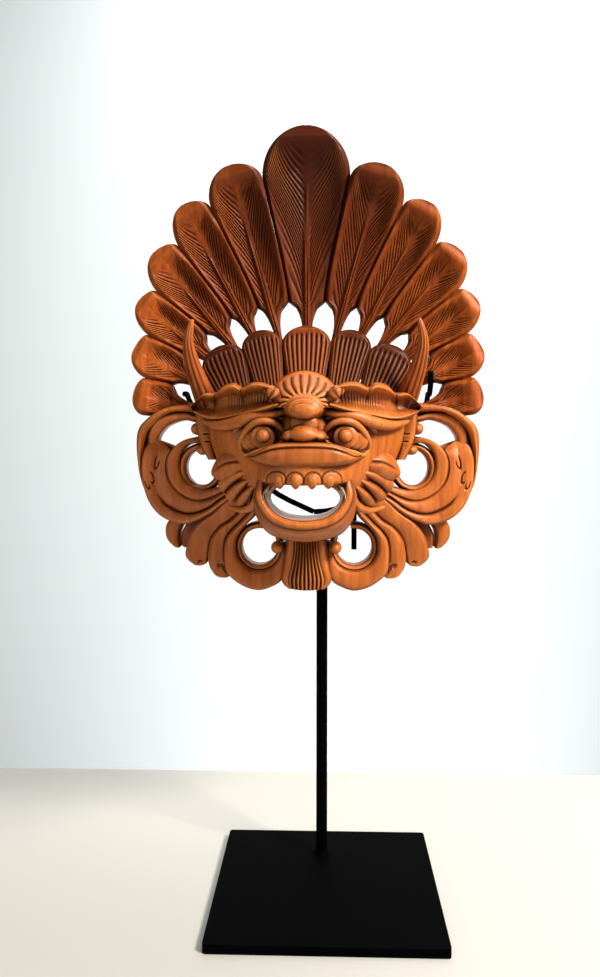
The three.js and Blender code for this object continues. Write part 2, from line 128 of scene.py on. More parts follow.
def smooth(low, high, value):
    """0 below low, 1 above high, and a smooth cubic between."""
    t = np.clip((value - low) / (high - low), 0.0, 1.0)
    return t * t * (3.0 - 2.0 * t)


def half_circle(t):
    """A rounded rise across a flute: 0 at both edges and 1 at the middle."""
    return np.sqrt(1.0 - np.abs(2.0 * t - 1.0) ** 2)


def line_at(value, place, width):
    """A rounded line across a surface: 1 where value is at place, and almost 0 two widths away."""
    return np.exp(-(((value - place) / width) ** 2))


def strokes(turns, power):
    """Rounded ridges with a sharp valley, 0, at each whole number of turns."""
    return np.abs(np.sin(np.pi * turns)) ** power


def arch(s):
    """Half a sine wave: 0 at both ends and 1 in the middle."""
    return np.sin(np.pi * np.clip(s, 0.0, 1.0))


def flat(value):
    """The same value all along s."""
    return lambda s: value


def slope(a, b, power=1.0):
    """From a at the start of s to b at its end, by a power of s."""
    return lambda s: mix(a, b, np.clip(s, 0.0, 1.0) ** power)


def swell(ends, rise, power):
    """One value at both ends of s, and rise more in the middle."""
    return lambda s: ends + rise * arch(s) ** power


def spline(points):
    """A uniform Catmull-Rom curve through the points, as a function of s from 0 to 1."""
    p = np.array(points, float)
    last = len(p) - 1

    def at(s):
        place = np.clip(np.asarray(s, float), 0.0, 1.0) * last
        i = np.minimum(place.astype(int), last - 1)
        t = (place - i)[..., None]
        before, a = p[np.maximum(i - 1, 0)], p[i]
        b, after = p[i + 1], p[np.minimum(i + 2, last)]
        va, vb = (b - before) / 2.0, (after - a) / 2.0
        return (2 * a - 2 * b + va + vb) * t**3 + (3 * b - 3 * a - 2 * va - vb) * t**2 + va * t + a

    return at


def symmetric(half):
    """A curve from left to right whose points are given for its right half, from the outside in."""
    return spline([*([-x, v] for x, v in half), *half[-2::-1]])


def arc(centre, rx, rv, start, end):
    """Part of an ellipse, from one angle in degrees to another, as a function of s."""

    def at(s):
        angle = np.radians(mix(start, end, np.asarray(s, float)))
        return np.stack([centre[0] + rx * np.cos(angle), centre[1] + rv * np.sin(angle)], axis=-1)

    return at


# ---------------------------------------------------------------- closed forms


def hollowness(rings, ring_closed):
    """How sharply the surface is hollow at each point, from 0 to 1, and likewise how sharply it stands
    out. The bend is, for both directions of the grid, the two neighbours less twice the point itself,
    taken along the normal and divided by the product of the two distances, per millimetre."""
    if ring_closed:
        before, after = np.roll(rings, 1, axis=0), np.roll(rings, -1, axis=0)
    else:
        before = np.concatenate([rings[:1], rings[:-1]])
        after = np.concatenate([rings[1:], rings[-1:]])
    left, right = np.roll(rings, 1, axis=1), np.roll(rings, -1, axis=1)
    normal = np.cross(after - before, right - left)
    normal /= np.maximum(np.linalg.norm(normal, axis=-1, keepdims=True), 1e-12)
    bend = np.zeros(rings.shape[:2])
    for one, other in ((before, after), (left, right)):
        area = np.linalg.norm(one - rings, axis=-1) * np.linalg.norm(other - rings, axis=-1)
        turned = np.einsum("ijk,ijk->ij", one + other - 2.0 * rings, normal)
        bend += turned / np.maximum(area, 1e-8) / 1000.0
    centre = rings.reshape(-1, 3).mean(axis=0)
    outward = np.sign(np.einsum("ijk,ijk->ij", rings - centre, normal).sum())
    bend = bend * (outward if outward else 1.0)
    for _ in range(2):
        bend = (bend * 2.0 + np.roll(bend, 1, axis=1) + np.roll(bend, -1, axis=1)) / 4.0
    return smooth(0.10, 0.9, bend), smooth(0.15, 1.0, -bend)


def loft(rings, cut=None, ring_closed=False):
    """Skins rings (count, around, 3) one to the next. The two ends are closed by a fan to their
    middle, or joined to each other. cut, of shape (count, around), says how deep each point is cut."""
    count, around = rings.shape[:2]
    hollow, wear_and_highlight = hollowness(rings, ring_closed)
    # Concave creases count as cut, and the wood is darkened there with stain and painted shade.
    cut = hollow if cut is None else np.maximum(hollow, cut)
    index = np.arange(count * around).reshape(count, around)
    lower = index if ring_closed else index[:-1]
    upper = np.roll(index, -1, axis=0) if ring_closed else index[1:]
    quads = np.stack([lower, np.roll(lower, -1, axis=1), np.roll(upper, -1, axis=1), upper], axis=-1)
    verts = rings.reshape(-1, 3)
    # Points that stand out get the second mark, which pales the wood there, partly for wear and partly as
    # a painted highlight.
    marks = np.stack([cut, wear_and_highlight * (1.0 - cut)], axis=-1).reshape(-1, 2)
    tris = np.zeros((0, 3), int)
    if not ring_closed:
        hubs = np.stack([rings[0].mean(axis=0), rings[-1].mean(axis=0)])
        verts = np.concatenate([verts, hubs])
        marks = np.concatenate([marks, np.zeros((2, 2))])
        first, end = index[0], index[-1]
        hub = np.full(around, count * around)
        tris = np.concatenate([
            np.stack([hub, np.roll(first, -1), first], axis=-1),
            np.stack([hub + 1, end, np.roll(end, -1)], axis=-1),
        ])
    return facing_out(verts, quads.reshape(-1, 4), tris, marks)


def facing_out(verts, quads, tris, marks):
    """Turns the faces over if the form's signed volume is negative."""
    split = np.concatenate([quads[:, [0, 1, 2]], quads[:, [0, 2, 3]], tris])
    a, b, c = (verts[split[:, k]] - verts.mean(axis=0) for k in range(3))
    if np.einsum("ij,ij->i", a, np.cross(b, c)).sum() < 0:
        quads, tris = quads[:, ::-1], tris[:, ::-1]
    return verts, quads, tris, marks


def mirrored(form):
    verts, quads, tris, marks = form
    verts = verts * (-1, 1, 1) + (MASK_X * 0.002, 0, 0)
    return facing_out(verts, quads, tris, marks)


def both(forms):
    return [*forms, *(mirrored(form) for form in forms)]


def signed_power(value, power):
    return np.sign(value) * np.abs(value) ** power


def head_outline(angle, inset):
    """The egg-shaped edge of the head where it meets the flat of the back."""
    up = np.sin(angle) > 0
    power = np.where(up, HEAD_POWER_UP, HEAD_POWER_DOWN)
    reach = np.where(up, HEAD_UP, HEAD_DOWN) - inset
    x = (HEAD_HALF_WIDTH - inset) * signed_power(np.cos(angle), 2.0 / power)
    return x, HEAD_CENTRE + reach * signed_power(np.sin(angle), 2.0 / power)


def head_share(x, v, inset):
    """How far out a point lies: 0 at the top of the dome and 1 on the outline. The centre that it is
    measured from shifts with the answer, so it is found step by step."""
    share = np.full(np.broadcast(x, v).shape, 0.5)
    for _ in range(60):
        centre = mix(HEAD_TOP_CENTRE, HEAD_CENTRE, share)
        up = v > centre
        power = np.where(up, HEAD_POWER_UP, HEAD_POWER_DOWN)
        reach = np.where(up, HEAD_UP, HEAD_DOWN) - inset
        norm = np.abs(x / (HEAD_HALF_WIDTH - inset)) ** power + np.abs((v - centre) / reach) ** power
        share = mix(share, np.clip(norm, 0.0, 1.0) ** (1.0 / power), 0.5)
    return share


def bump(x, v, centre, radii, power=2.0):
    """A rise of 1 at the centre that falls away to nothing beyond the radii."""
    across = np.abs((x - centre[0]) / radii[0]) ** power
    upward = np.abs((v - centre[1]) / radii[1]) ** power
    return np.exp(-(across + upward))


def head_height(x, v, inset):
    """The dome with a muzzle that stands forward, and on the outside sunk eye sockets."""
    dome = (1.0 - head_share(x, v, inset) ** 4.0) ** 0.58
    height = mix(HEAD_RIM, HEAD_TOP - inset, dome)
    side = np.abs(x)
    height = height + MUZZLE_RISE * bump(side, v, (0.0, -19.0), (33.0, 15.0), 4.0)
    if inset:
        return height
    return height - SOCKET_DEPTH * bump(side, v, (26.0, 0.0), (13.0, 9.0))


def hollow_top(x, v):
    """Lowest height a form may reach at x, v without showing inside the hollow behind the face."""
    inside = head_share(x, v, HEAD_WALL) < WALL_SHARE
    return np.where(inside, head_height(x, v, HEAD_WALL) + HOLLOW_GAP, 0.0)


def ribbed(rails, front, back, along=70, across=12, tip=0.0, root=0.0, crown=0.6, groove=1.5,
           width=1.0, edge=1.8, edge_width=2.2, step=0.0, fade=None, detail=None, lobed=False):
    """A band of relief between rails, curves in (x, v), each inner rail a groove of depth groove and
    half-width width. front and back give the height of its two faces along s. A rib rises by crown in
    its middle and by step from one side to the other. The outer edges are let out a little past their
    rails and eased off by edge over edge_width. tip and root are how much sooner the edges stop than
    the middle, which rounds the band's ends, or each rib's when lobed. fade(s) is the share of the
    grooves that is left, and detail(s, t) gives a height to add and a depth of cut."""
    ribs = len(rails) - 1
    u = (1.0 - np.cos(np.pi * np.linspace(0.0, 1.0, across + 1))) / 2.0
    t = np.concatenate([[0.0], *((k + u[1:]) / ribs for k in range(ribs))])
    lobe = np.concatenate([[0.0], np.tile(u[1:], ribs)]) if lobed else t
    reach = np.sqrt(np.clip(1.0 - (2.0 * lobe - 1.0) ** 2, 0.0, 1.0))
    low, high = root * (1.0 - reach), 1.0 - tip * (1.0 - reach)
    s = mix(low[None, :], high[None, :], np.linspace(0.0, 1.0, along + 1)[:, None])
    rib = np.minimum((t * ribs).astype(int), ribs - 1)
    u = t * ribs - rib
    places = np.stack([rail(s) for rail in rails])
    column = np.arange(len(t))
    first = places[rib, :, column].transpose(1, 0, 2)
    second = places[rib + 1, :, column].transpose(1, 0, 2)
    xv = first + (second - first) * u[None, :, None]
    size = np.linalg.norm(second - first, axis=-1)
    aside = xv[:, -1] - xv[:, 0]
    aside = RIM_LET_OUT * aside / np.maximum(np.linalg.norm(aside, axis=-1, keepdims=True), 1e-6)
    xv[:, 0] -= aside
    xv[:, -1] += aside
    from_low, from_high = size * u, size * (1.0 - u)
    inner_low = np.where(rib > 0, from_low, 1e3)
    inner_high = np.where(rib < ribs - 1, from_high, 1e3)
    sunk = np.exp(-((np.minimum(inner_low, inner_high) / width) ** 1.4))
    groove_share = 1.0 if fade is None else fade(s)
    sunk = sunk * groove_share
    outer = np.minimum(np.where(rib == 0, from_low, 1e3), np.where(rib == ribs - 1, from_high, 1e3))
    eased = (1.0 - np.clip(outer / edge_width, 0.0, 1.0)) ** 2
    height = front(s) - groove * sunk - edge * eased - crown * (2.0 * u - 1.0) ** 2
    height = height + step * (u - 0.5) * groove_share
    cut = sunk
    if detail is not None:
        extra, marks = detail(s, np.broadcast_to(t, s.shape))
        height, cut = height + extra, np.maximum(cut, marks)
    covered = hollow_top(xv[..., 0], xv[..., 1])
    height = np.maximum(height, covered + LEAST_WOOD)
    top = put(xv[..., 0], xv[..., 1], height)
    floor = np.maximum(np.broadcast_to(back(s), height.shape), covered)
    floor = np.minimum(floor, height - LEAST_WOOD / 2.0)
    walls = []
    for share in (0.25, 0.6, 1.0):
        walls.append(put(xv[:, -1, 0], xv[:, -1, 1], mix(height[:, -1], floor[:, -1], share)))
    for k in (2 * len(t) // 3, len(t) // 3):
        walls.append(put(xv[:, k, 0], xv[:, k, 1], floor[:, k]))
    for share in (1.0, 0.6, 0.25):
        walls.append(put(xv[:, 0, 0], xv[:, 0, 1], mix(height[:, 0], floor[:, 0], share)))
    rings = np.concatenate([top, np.stack(walls, axis=1)], axis=1)
    return loft(rings, np.concatenate([cut, np.zeros((along + 1, len(walls)))], axis=1))


def bar(points, radius, along=48, sides=24, depth=1.0, crease=None):
    """A round bar along (x, v, h) points, of radius(s). Its section is depth times as deep towards the
    front as it is wide, and crease(s, angle) takes a share off its radius."""
    s = np.linspace(0.0, 1.0, along + 1)
    path = spline(points)(s)
    tangent = np.gradient(path, axis=0)
    tangent /= np.linalg.norm(tangent, axis=1, keepdims=True)
    across = np.cross(tangent, (0.0, 0.0, 1.0))
    across /= np.linalg.norm(across, axis=1, keepdims=True)
    ahead = np.cross(across, tangent)
    angle = np.linspace(0.0, 2.0 * np.pi, sides, endpoint=False)
    size = np.broadcast_to(radius(s), s.shape)[:, None] * np.ones(sides)
    cut = np.zeros((along + 1, sides))
    if crease is not None:
        cut = np.broadcast_to(crease(s[:, None], angle[None, :]), cut.shape)
        size = size * (1.0 - cut)
    ring = (
        path[:, None]
        + (size * np.cos(angle))[..., None] * across[:, None]
        + (size * depth * np.sin(angle))[..., None] * ahead[:, None]
    )
    h = np.maximum(ring[..., 2], hollow_top(ring[..., 0], ring[..., 1]) + LEAST_WOOD)
    return loft(put(ring[..., 0], ring[..., 1], h), cut / max(cut.max(), 1e-6))


def ball(centre, radii, around=40, up=24):
    """An ellipsoid whose pole points forward, with a very small flat at each pole."""
    pole = 0.02
    polar = np.linspace(pole, np.pi - pole, up)[:, None]
    angle = np.linspace(0.0, 2.0 * np.pi, around, endpoint=False)[None, :]
    x = centre[0] + radii[0] * np.sin(polar) * np.cos(angle)
    v = centre[1] + radii[1] * np.sin(polar) * np.sin(angle)
    h = np.maximum(centre[2] + radii[2] * np.cos(polar), hollow_top(x, v) + LEAST_WOOD)
    return loft(put(x, v, h))


def rounded(x, v, centre, radii, top, fall):
    """Height of an upright ellipsoid over x, v: top at its centre, fall lower at its edge, and steeply
    down past that."""
    skirt = 40.0
    away = np.hypot((x - centre[0]) / radii[0], (v - centre[1]) / radii[1])
    inside = fall * (1.0 - np.sqrt(np.clip(1.0 - away**2, 0.0, 1.0)))
    return top - inside - skirt * np.maximum(away - 1.0, 0.0)


def melted(heights, blend):
    """The highest of several heights, with valleys between them rounded by blend."""
    faintest = -60.0
    highest = np.max(heights, axis=0)
    shares = (np.exp(np.maximum((one - highest) / blend, faintest)) for one in heights)
    return highest + blend * np.log(sum(shares))


def patch(box, floor, relief, count):
    """relief(x, v) over the box (x0, v0, x1, v1), in count rows and columns. Its back lies at floor, or
    higher where the hollow behind it calls for that."""
    left, low, right, high = box
    v, x = np.meshgrid(np.linspace(low, high, count), np.linspace(left, right, count), indexing="ij")
    floor = np.maximum(floor, hollow_top(x, v))
    height = np.maximum(relief(x, v), floor + LEAST_WOOD)
    columns = (-1, 3 * count // 4, count // 2, count // 4, 0)
    under = [put(x[:, k], v[:, k], floor[:, k]) for k in columns]
    return loft(np.concatenate([put(x, v, height), np.stack(under, axis=1)], axis=1))


def make_piece(name, forms, material, sharp=42.0):
    """One mesh of all these closed forms, shaded smooth but for edges sharper than sharp degrees, with
    each point's cut, which the wood darkens with stain and painted shade, and its share of wear and
    painted highlight as attributes. It rides on the root."""
    offset, verts, corners, sizes, marks = 0, [], [], [], []
    for form_verts, quads, tris, form_marks in forms:
        verts.append(form_verts)
        marks.append(form_marks)
        corners += [(quads + offset).ravel(), (tris + offset).ravel()]
        sizes += [np.full(len(quads), 4), np.full(len(tris), 3)]
        offset += len(form_verts)
    sizes = np.concatenate(sizes)
    mesh = bpy.data.meshes.new(name)
    mesh.vertices.add(offset)
    mesh.vertices.foreach_set("co", np.concatenate(verts).astype(np.float32).ravel())
    mesh.loops.add(int(sizes.sum()))
    mesh.loops.foreach_set("vertex_index", np.concatenate(corners).astype(np.int32))
    mesh.polygons.add(len(sizes))
    starts = np.concatenate([[0], np.cumsum(sizes)[:-1]])
    mesh.polygons.foreach_set("loop_start", starts.astype(np.int32))
    mesh.update(calc_edges=True)
    mesh.validate()
    for column, mark in enumerate(("cut", "wear_and_highlight")):
        values = np.concatenate(marks)[:, column].astype(np.float32)
        mesh.attributes.new(mark, "FLOAT", "POINT").data.foreach_set("value", values)
    mesh.shade_smooth()
    mesh.set_sharp_from_angle(angle=math.radians(sharp))
    piece = bpy.data.objects.new(name, mesh)
    bpy.context.scene.collection.objects.link(piece)
    mesh.materials.append(material)
    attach(piece, "root")
    return piece


# ---------------------------------------------------------------- long feathers


def half_width(index, side):
    """Half the feather's width at a distance r along it: a thin stem that flares in a quarter of an
    ellipse to meet its neighbour, then out along the valley, then an ellipse again round the tip."""
    near = max(index - 1, 0) if side < 0 else index
    notch, valley = NOTCH_ANGLES[near], VALLEY_ANGLES[near]
    join, turn, tip = JOIN_RADII[near], VALLEY_RADII[near], FEATHER_TIPS[index]

    def full(r):
        boundary = mix(notch, valley, smooth(join, turn, r))
        spread = boundary if index == 0 else np.abs(boundary - FEATHER_ANGLES[index])
        return r * np.tan(np.radians(spread))

    def at(r):
        opened = 1.0 - np.sqrt(1.0 - np.clip((r - STEM_END) / (join - STEM_END), 0.0, 1.0) ** 2)
        stem = mix(STEM_HALF_WIDTHS[index], full(np.array(join)), opened)
        past = np.clip((r - turn) / (tip - turn), 0.0, 1.0)
        return np.where(r < join, stem, full(np.minimum(r, turn)) * np.sqrt(1.0 - past**2))

    return at


def in_fan(angle, r, aside):
    """The point a distance r out from the common centre, angle degrees from straight up, and then
    aside at right angles to that."""
    turn = math.radians(angle)
    x = r * math.sin(turn) + aside * math.cos(turn)
    return x, r * math.cos(turn) - aside * math.sin(turn)


def lean_of(index, r):
    """How far the feather has come forward at r: nothing at the stem's end and its full lean at the
    tip, by a power of the way between."""
    reach = np.clip((r - STEM_END) / (FEATHER_TIPS[index] - STEM_END), 0.0, 1.0)
    return LEANS[index] * reach**1.6


def feather_height(index, side, r, y, width):
    """The vane is hollowed like a spoon between a raised double rachis and a rolled rim round its free
    end. Its inner edge lies on top of its neighbour as a smooth ridge, and its outer edge dips under.
    Gives the height, the depth of cut from 0 to 1, and the distance to the feather's edge."""
    tip = FEATHER_TIPS[index]
    near = max(index - 1, 0) if side < 0 else index
    size = LEANS[index] / LEANS[0]
    vane = smooth(STEM_END + 4.0, STEM_END + 36.0, r)
    free = smooth(VALLEY_RADII[near] - 22.0, VALLEY_RADII[near] + 4.0, r)
    margin = np.minimum(width - np.abs(y), (tip - r) * 0.5)
    inward = np.clip(np.abs(y) / np.maximum(width, 0.01), 0.0, 1.0)
    dish = mix(*DISH_DEPTHS, smooth(95.0, tip - 26.0, r)) * mix(0.45, 1.0, size) * vane
    dish = dish * (1.0 - inward**2.6) * smooth(3.0, 13.0, margin + 6.0 * (1.0 - free))
    roll = RIM_ROLL * (1.0 - smooth(0.0, 4.2, margin)) ** 1.5 * free
    if index > 0 and side < 0:
        edge = 1.5 * smooth(3.6, 1.6, margin) - 1.3 * smooth(0.9, 0.0, margin)
        seam = smooth(5.0, 3.7, margin) * smooth(2.7, 3.6, margin) * 0.5
    else:
        edge = -2.6 * smooth(2.6, 0.3, margin)
        seam = smooth(2.4, 0.5, margin)
    edge = edge * (1.0 - free) * vane
    notch = line_at(r, JOIN_RADII[near], 7.0) * smooth(3.2, 0.0, margin)
    fade = 1.0 - smooth(tip - 42.0, tip - 20.0, r)
    slim = mix(1.0, 0.6, smooth(STEM_END, tip, r))
    rachis = RACHIS_RISE * np.exp(-((np.abs(y) / (RACHIS_HALF_WIDTH * slim)) ** 4)) * fade
    rachis -= line_at(y, 0.0, RACHIS_SPLIT * slim) * fade
    moat = line_at(np.abs(y), MOAT_PLACE * slim, MOAT_WIDTH) * fade * vane
    cut = np.clip(0.9 * moat + seam * (1.0 - free) * vane + notch, 0.0, 1.0)
    height = FEATHER_HEIGHT + lean_of(index, r) - dish - roll + edge
    return height - NOTCH_DEPTH * notch + rachis - MOAT_DEPTH * moat, cut, margin


def barb_ends(index, side, b):
    """Where the straight barb from b on the rachis meets the outline. Below the vane, where the stem
    flares, the barbs start close together and bend round with the flare."""
    width = half_width(index, side)
    near = max(index - 1, 0) if side < 0 else index
    slant = 1.0 / math.tan(math.radians(BARB_ANGLE))
    widest, halvings = 45.0, 32
    low, high = np.zeros_like(b), np.full_like(b, widest)
    for _ in range(halvings):
        middle = (low + high) / 2.0
        inside = width(b + middle * slant) > middle
        low, high = np.where(inside, middle, low), np.where(inside, high, middle)
    straight = b + low * slant
    first = JOIN_RADII[near] - 10.0
    start = first + width(np.array(JOIN_RADII[near] + 3.0)) * slant
    slow = FEATHER_ROOT + (start - FEATHER_ROOT) * ((b - FEATHER_ROOT) / (first - FEATHER_ROOT))
    return mix(np.minimum(slow, straight.max()), straight, smooth(first - 8.0, first + 2.0, b))


def long_feather(index):
    """Rows follow the barbs: row b starts at distance b on the rachis and ends on the outline, at the
    barb's end. Between them the offset from the rachis is a share of the feather's width there."""
    tip = FEATHER_TIPS[index]
    pitch = BARB_PITCH * mix(0.85, 1.1, LEANS[index] / LEANS[0])
    flare = np.linspace(FEATHER_ROOT, FLARE_END, 90)
    vane = np.arange(FLARE_END, tip - 0.2, pitch / BARB_SAMPLES)
    b = np.concatenate([flare, vane[1:], [tip - 0.15]])[:, None]
    rows, columns = len(b), 21
    share = np.linspace(0.0, 1.0, columns)[None, :] ** 0.92
    halves = []
    for side in (1, -1):
        width = half_width(index, side)
        ends = np.maximum.accumulate(barb_ends(index, side, b), axis=0)
        r = np.minimum(b + (ends - b) * share, tip - 0.01)
        y = share * width(r)
        h, cut, margin = feather_height(index, side, r, y, np.maximum(width(r), y))
        ridge = strokes(b / pitch, 0.85)
        deepest = h - LEAST_FEATHER
        barbs = smooth(1.8, 3.6, y) * smooth(2.6, 4.6, margin) * smooth(8.0, 16.0, (tip - r) * 0.9)
        h = h - BARB_DEPTH * barbs * (1.0 - ridge)
        cut = np.maximum(cut, barbs * (1.0 - ridge))
        x, v = in_fan(FEATHER_ANGLES[index], r, side * y)
        floor = FEATHER_HEIGHT - FEATHER_THICKNESS + lean_of(index, r) + 0.3 * (index % 2)
        floor = floor - 1.2 * smooth(tip - 70.0, tip - 35.0, r)
        covered = hollow_top(x, v)
        h = np.maximum(h, covered + ROOT_WOOD)
        halves.append((x, v, h, cut, np.maximum(np.minimum(floor, deepest), covered)))
    right, left = halves
    back_columns = (columns - 1, 14, 7)
    parts, cuts = [], []

    def add(half, chosen, on_back):
        x, v, h, cut, floor = half
        for k in chosen:
            parts.append(put(x[:, k], v[:, k], floor[:, k] if on_back else h[:, k]))
            cuts.append(np.zeros(rows) if on_back else cut[:, k])

    def wall(half):
        x, v, h, _, floor = half
        parts.append(put(x[:, -1], v[:, -1], mix(h[:, -1], floor[:, -1], 0.5)))
        cuts.append(np.zeros(rows))

    add(right, range(columns), False)
    wall(right)
    add(right, back_columns, True)
    add(right, (0,), True)
    add(left, back_columns[::-1], True)
    wall(left)
    add(left, range(columns - 1, 0, -1), False)
    return loft(np.stack(parts, axis=1), np.stack(cuts, axis=1))


def short_feather(index):
    """A shell in polar rows: flutes fan out from its root and stop below a smooth raised rim."""
    tip, half, flutes = SHORT_TIPS[index], SHORT_HALF_WIDTHS[index], SHORT_FLUTES[index]
    shoulder = tip - half * 0.8
    t = np.linspace(0.0, 1.0, flutes * 10 + 1)[None, :]
    rounding = np.sin(np.linspace(0.0, 0.5 * np.pi, 26))[1:] * 0.999
    r = np.concatenate([np.linspace(SHORT_ROOT, shoulder, 24), mix(shoulder, tip, rounding)])[:, None]
    past = np.clip((r - shoulder) / (tip - shoulder), 0.0, 1.0)
    width = mix(half * 0.62, half, np.clip((r - SHORT_ROOT) / (shoulder - SHORT_ROOT), 0.0, 1.0))
    y = mix(-1.0, 1.0, t) * width * np.sqrt(1.0 - past**2)
    along = np.broadcast_to(r, y.shape)
    reach = (along - SHORT_ROOT) / (tip - SHORT_ROOT)
    u = y / half
    edge = np.minimum(width * np.sqrt(1.0 - past**2) - np.abs(y), (tip - along) * 0.9)
    bed = smooth(2.0, 5.5, np.minimum(edge + 1.5, tip - along - 2.0 - 3.0 * u**2))
    lane = np.mod(y / width * flutes / 2.0 + 0.5 * (flutes % 2), 1.0)
    ridge = half_circle(lane)
    height = mix(*SHORT_HEIGHTS, reach**0.6) + 2.0 * (1.0 - u**2) - 2.4 * (1.0 - smooth(0.0, 2.5, edge))
    height = height - bed * (0.6 + 2.4 * (1.0 - ridge))
    x, v = in_fan(SHORT_ANGLES[index], along, y)
    x = SHORT_CENTRES[index] + x
    covered = hollow_top(x, v)
    height = np.maximum(height, covered + ROOT_WOOD)
    # Near the outline the shell is half marked as cut, which darkens it with stain and painted shade.
    cut = np.clip(bed * (1.0 - ridge) ** 0.6 + (1.0 - smooth(0.0, 1.6, edge)) * 0.5, 0.0, 1.0)
    floor = mix(4.0, 14.0, reach[:, 0] ** 2)
    deepest = np.minimum(covered, height - LEAST_WOOD)
    under = []
    for column, share in ((-1, 0.4), (-1, 1.0), (-30, 1.0), (30, 1.0), (0, 1.0), (0, 0.4)):
        h = mix(height[:, column], np.maximum(floor, deepest[:, column]), share)
        under.append(put(x[:, column], v[:, column], h))
    rings = np.concatenate([put(x, v, height), np.stack(under, axis=1)], axis=1)
    return loft(rings, np.concatenate([cut, np.zeros((len(r), len(under)))], axis=1))


def stem_root(index):
    """The lowest part of a feather's stem, which runs in behind the short feathers to the head."""
    lowest, height, radius = 38.0, 7.0, 3.3
    angle = FEATHER_ANGLES[index]
    top, end = FEATHER_ROOT + 4.0, lowest / math.cos(math.radians(angle))
    line = [[*in_fan(angle, mix(top, end, share), 0.0), height] for share in (0.0, 0.5, 1.0)]
    return bar(line, flat(radius), along=20)


# ---------------------------------------------------------------- head


def head():
    """A shell wrapped from the mouth's rim out to the edge of the head, round it, and back inside to
    the mouth, so that it closes on itself and the mouth goes right through."""
    angle = np.linspace(0.0, 2.0 * np.pi, 180, endpoint=False)[None, :]
    mouth_x = MOUTH["half_width"] * np.cos(angle)
    mouth_v = MOUTH["centre"] + MOUTH["half_height"] * np.sin(angle)
    out = np.linspace(0.0, 1.0, 64)[:, None] ** 0.85
    edge_x, edge_v = head_outline(angle, 0.0)
    x, v = mix(mouth_x, edge_x, out), mix(mouth_v, edge_v, out)
    outside = put(x, v, head_height(x, v, 0.0))
    rim_x, rim_v = head_outline(angle, HEAD_WALL)
    rim = np.concatenate([put(edge_x, edge_v, 0.0), put(rim_x, rim_v, 0.0)])
    back = np.linspace(1.0, 0.0, 30)[:, None] ** 0.85
    x, v = mix(mouth_x * MOUTH_NARROWING, rim_x, back), mix(mouth_v, rim_v, back)
    inside = put(x, v, head_height(x, v, HEAD_WALL))
    return loft(np.concatenate([outside, rim, inside]), ring_closed=True)


# ---------------------------------------------------------------- features of the face


def brow():
    """A ledge that rolls up from a thin lip, through a combed hollow, to three lobes along its top."""
    lip = spline([[15.5, 18.5], [26, 15.3], [35, 13.8], [43, 12.2], [55, 10.6], [66, 12.6], [75, 17.5]])
    crown = spline([[16, 29], [24, 33.0], [32, 34.0], [39.5, 31.6], [45, 34.4], [52, 33.2], [58, 29.4],
                    [66, 29.2], [76, 19.5]])
    lobe_bounds = (-0.03, 0.39, 0.74, 1.06)

    def detail(s, t):
        bulge = np.zeros_like(s)
        for low, high in zip(lobe_bounds[:-1], lobe_bounds[1:]):
            inside = (s >= low) & (s < high)
            bulge = np.where(inside, arch((s - low) / (high - low)) ** 0.55, bulge)
        lip_roll = 2.0 * line_at(t, 0.07, 0.06)
        hollow = -9.0 * smooth(0.12, 0.4, t) * smooth(0.9, 0.62, t) * mix(1.0, 0.6, s)
        rim = 5.0 * line_at(t, 0.8, 0.15) * mix(1.0, 0.8, s)
        top = -10.0 * smooth(0.84, 1.0, t) ** 1.3
        lobes = 5.0 * (bulge - 0.75) * smooth(0.16, 0.7, t)
        comb = smooth(0.14, 0.26, t) * smooth(0.78, 0.6, t) * (1.0 - smooth(0.42, 0.66, s))
        comb = 0.8 * comb * (1.0 - strokes(30.0 * s + 1.5 * t, 0.6))
        # The valleys between the lobes are marked as cut, so the wood darkens there with stain and painted
        # shade.
        valley = (1.0 - bulge) * smooth(0.3, 0.6, t) * smooth(0.97, 0.85, t)
        cut = np.clip(comb + 0.8 * valley**2, 0.0, 1.0)
        return lip_roll + hollow + rim + top + lobes - comb, cut

    return ribbed([lip, crown], slope(88.0, 46.0, 1.3), slope(54.0, 22.0), along=190, across=56, tip=0.04,
                  crown=0.0, edge=1.2, edge_width=1.2, detail=detail)


def brow_folds():
    """Under the brow's lip a broad soft roll, and under that the fold over the eyelid."""
    roll = bar([[12, 15.5, 78], [20, 13.6, 80], [31, 12.4, 78], [43, 8.8, 72], [55, 7.4, 62],
                [66, 10.5, 47]], swell(1.6, 2.4, 0.8), along=90, depth=1.4)
    fold = bar([[10, 9.5, 74], [18, 12.6, 76], [27, 13.2, 75], [36, 10.0, 71], [43, 5.0, 66],
                [47, -1, 62]], swell(0.3, 2.9, 0.9), along=90, depth=1.3)
    return [roll, fold]


def brow_curl():
    """The small combed roll at the brow's inner end."""
    return bar([[15.5, 22.5, 84], [17.5, 25.5, 86], [20.5, 27.5, 86.5], [24.0, 27.5, 85]],
               swell(0.6, 3.4, 0.7), along=60, depth=1.1,
               crease=lambda s, angle: 0.06 * np.abs(np.cos(12.0 * s)) ** 3)


def forehead_bun():
    """Half a shell of comma-shaped flutes with a smooth rim, round the top of the nose."""

    def flutes(s, t):
        turns = 13.0 * s - 1.5 * arch(t) * (2.0 * s - 1.0)
        cut = smooth(0.04, 0.16, t) * smooth(0.9, 0.76, t) * (1.0 - strokes(turns, 0.8))
        return -12.0 * t**1.6 - 1.5 * cut, cut

    rails = [arc((0.0, 17.0), 10.6, 7.6, 176.0, 4.0), arc((0.0, 17.0), 23.4, 23.6, 178.0, 2.0)]
    return ribbed(rails, flat(90.0), flat(50.0), along=190, across=40, crown=0.0, edge=1.6, edge_width=1.4,
                  detail=flutes)


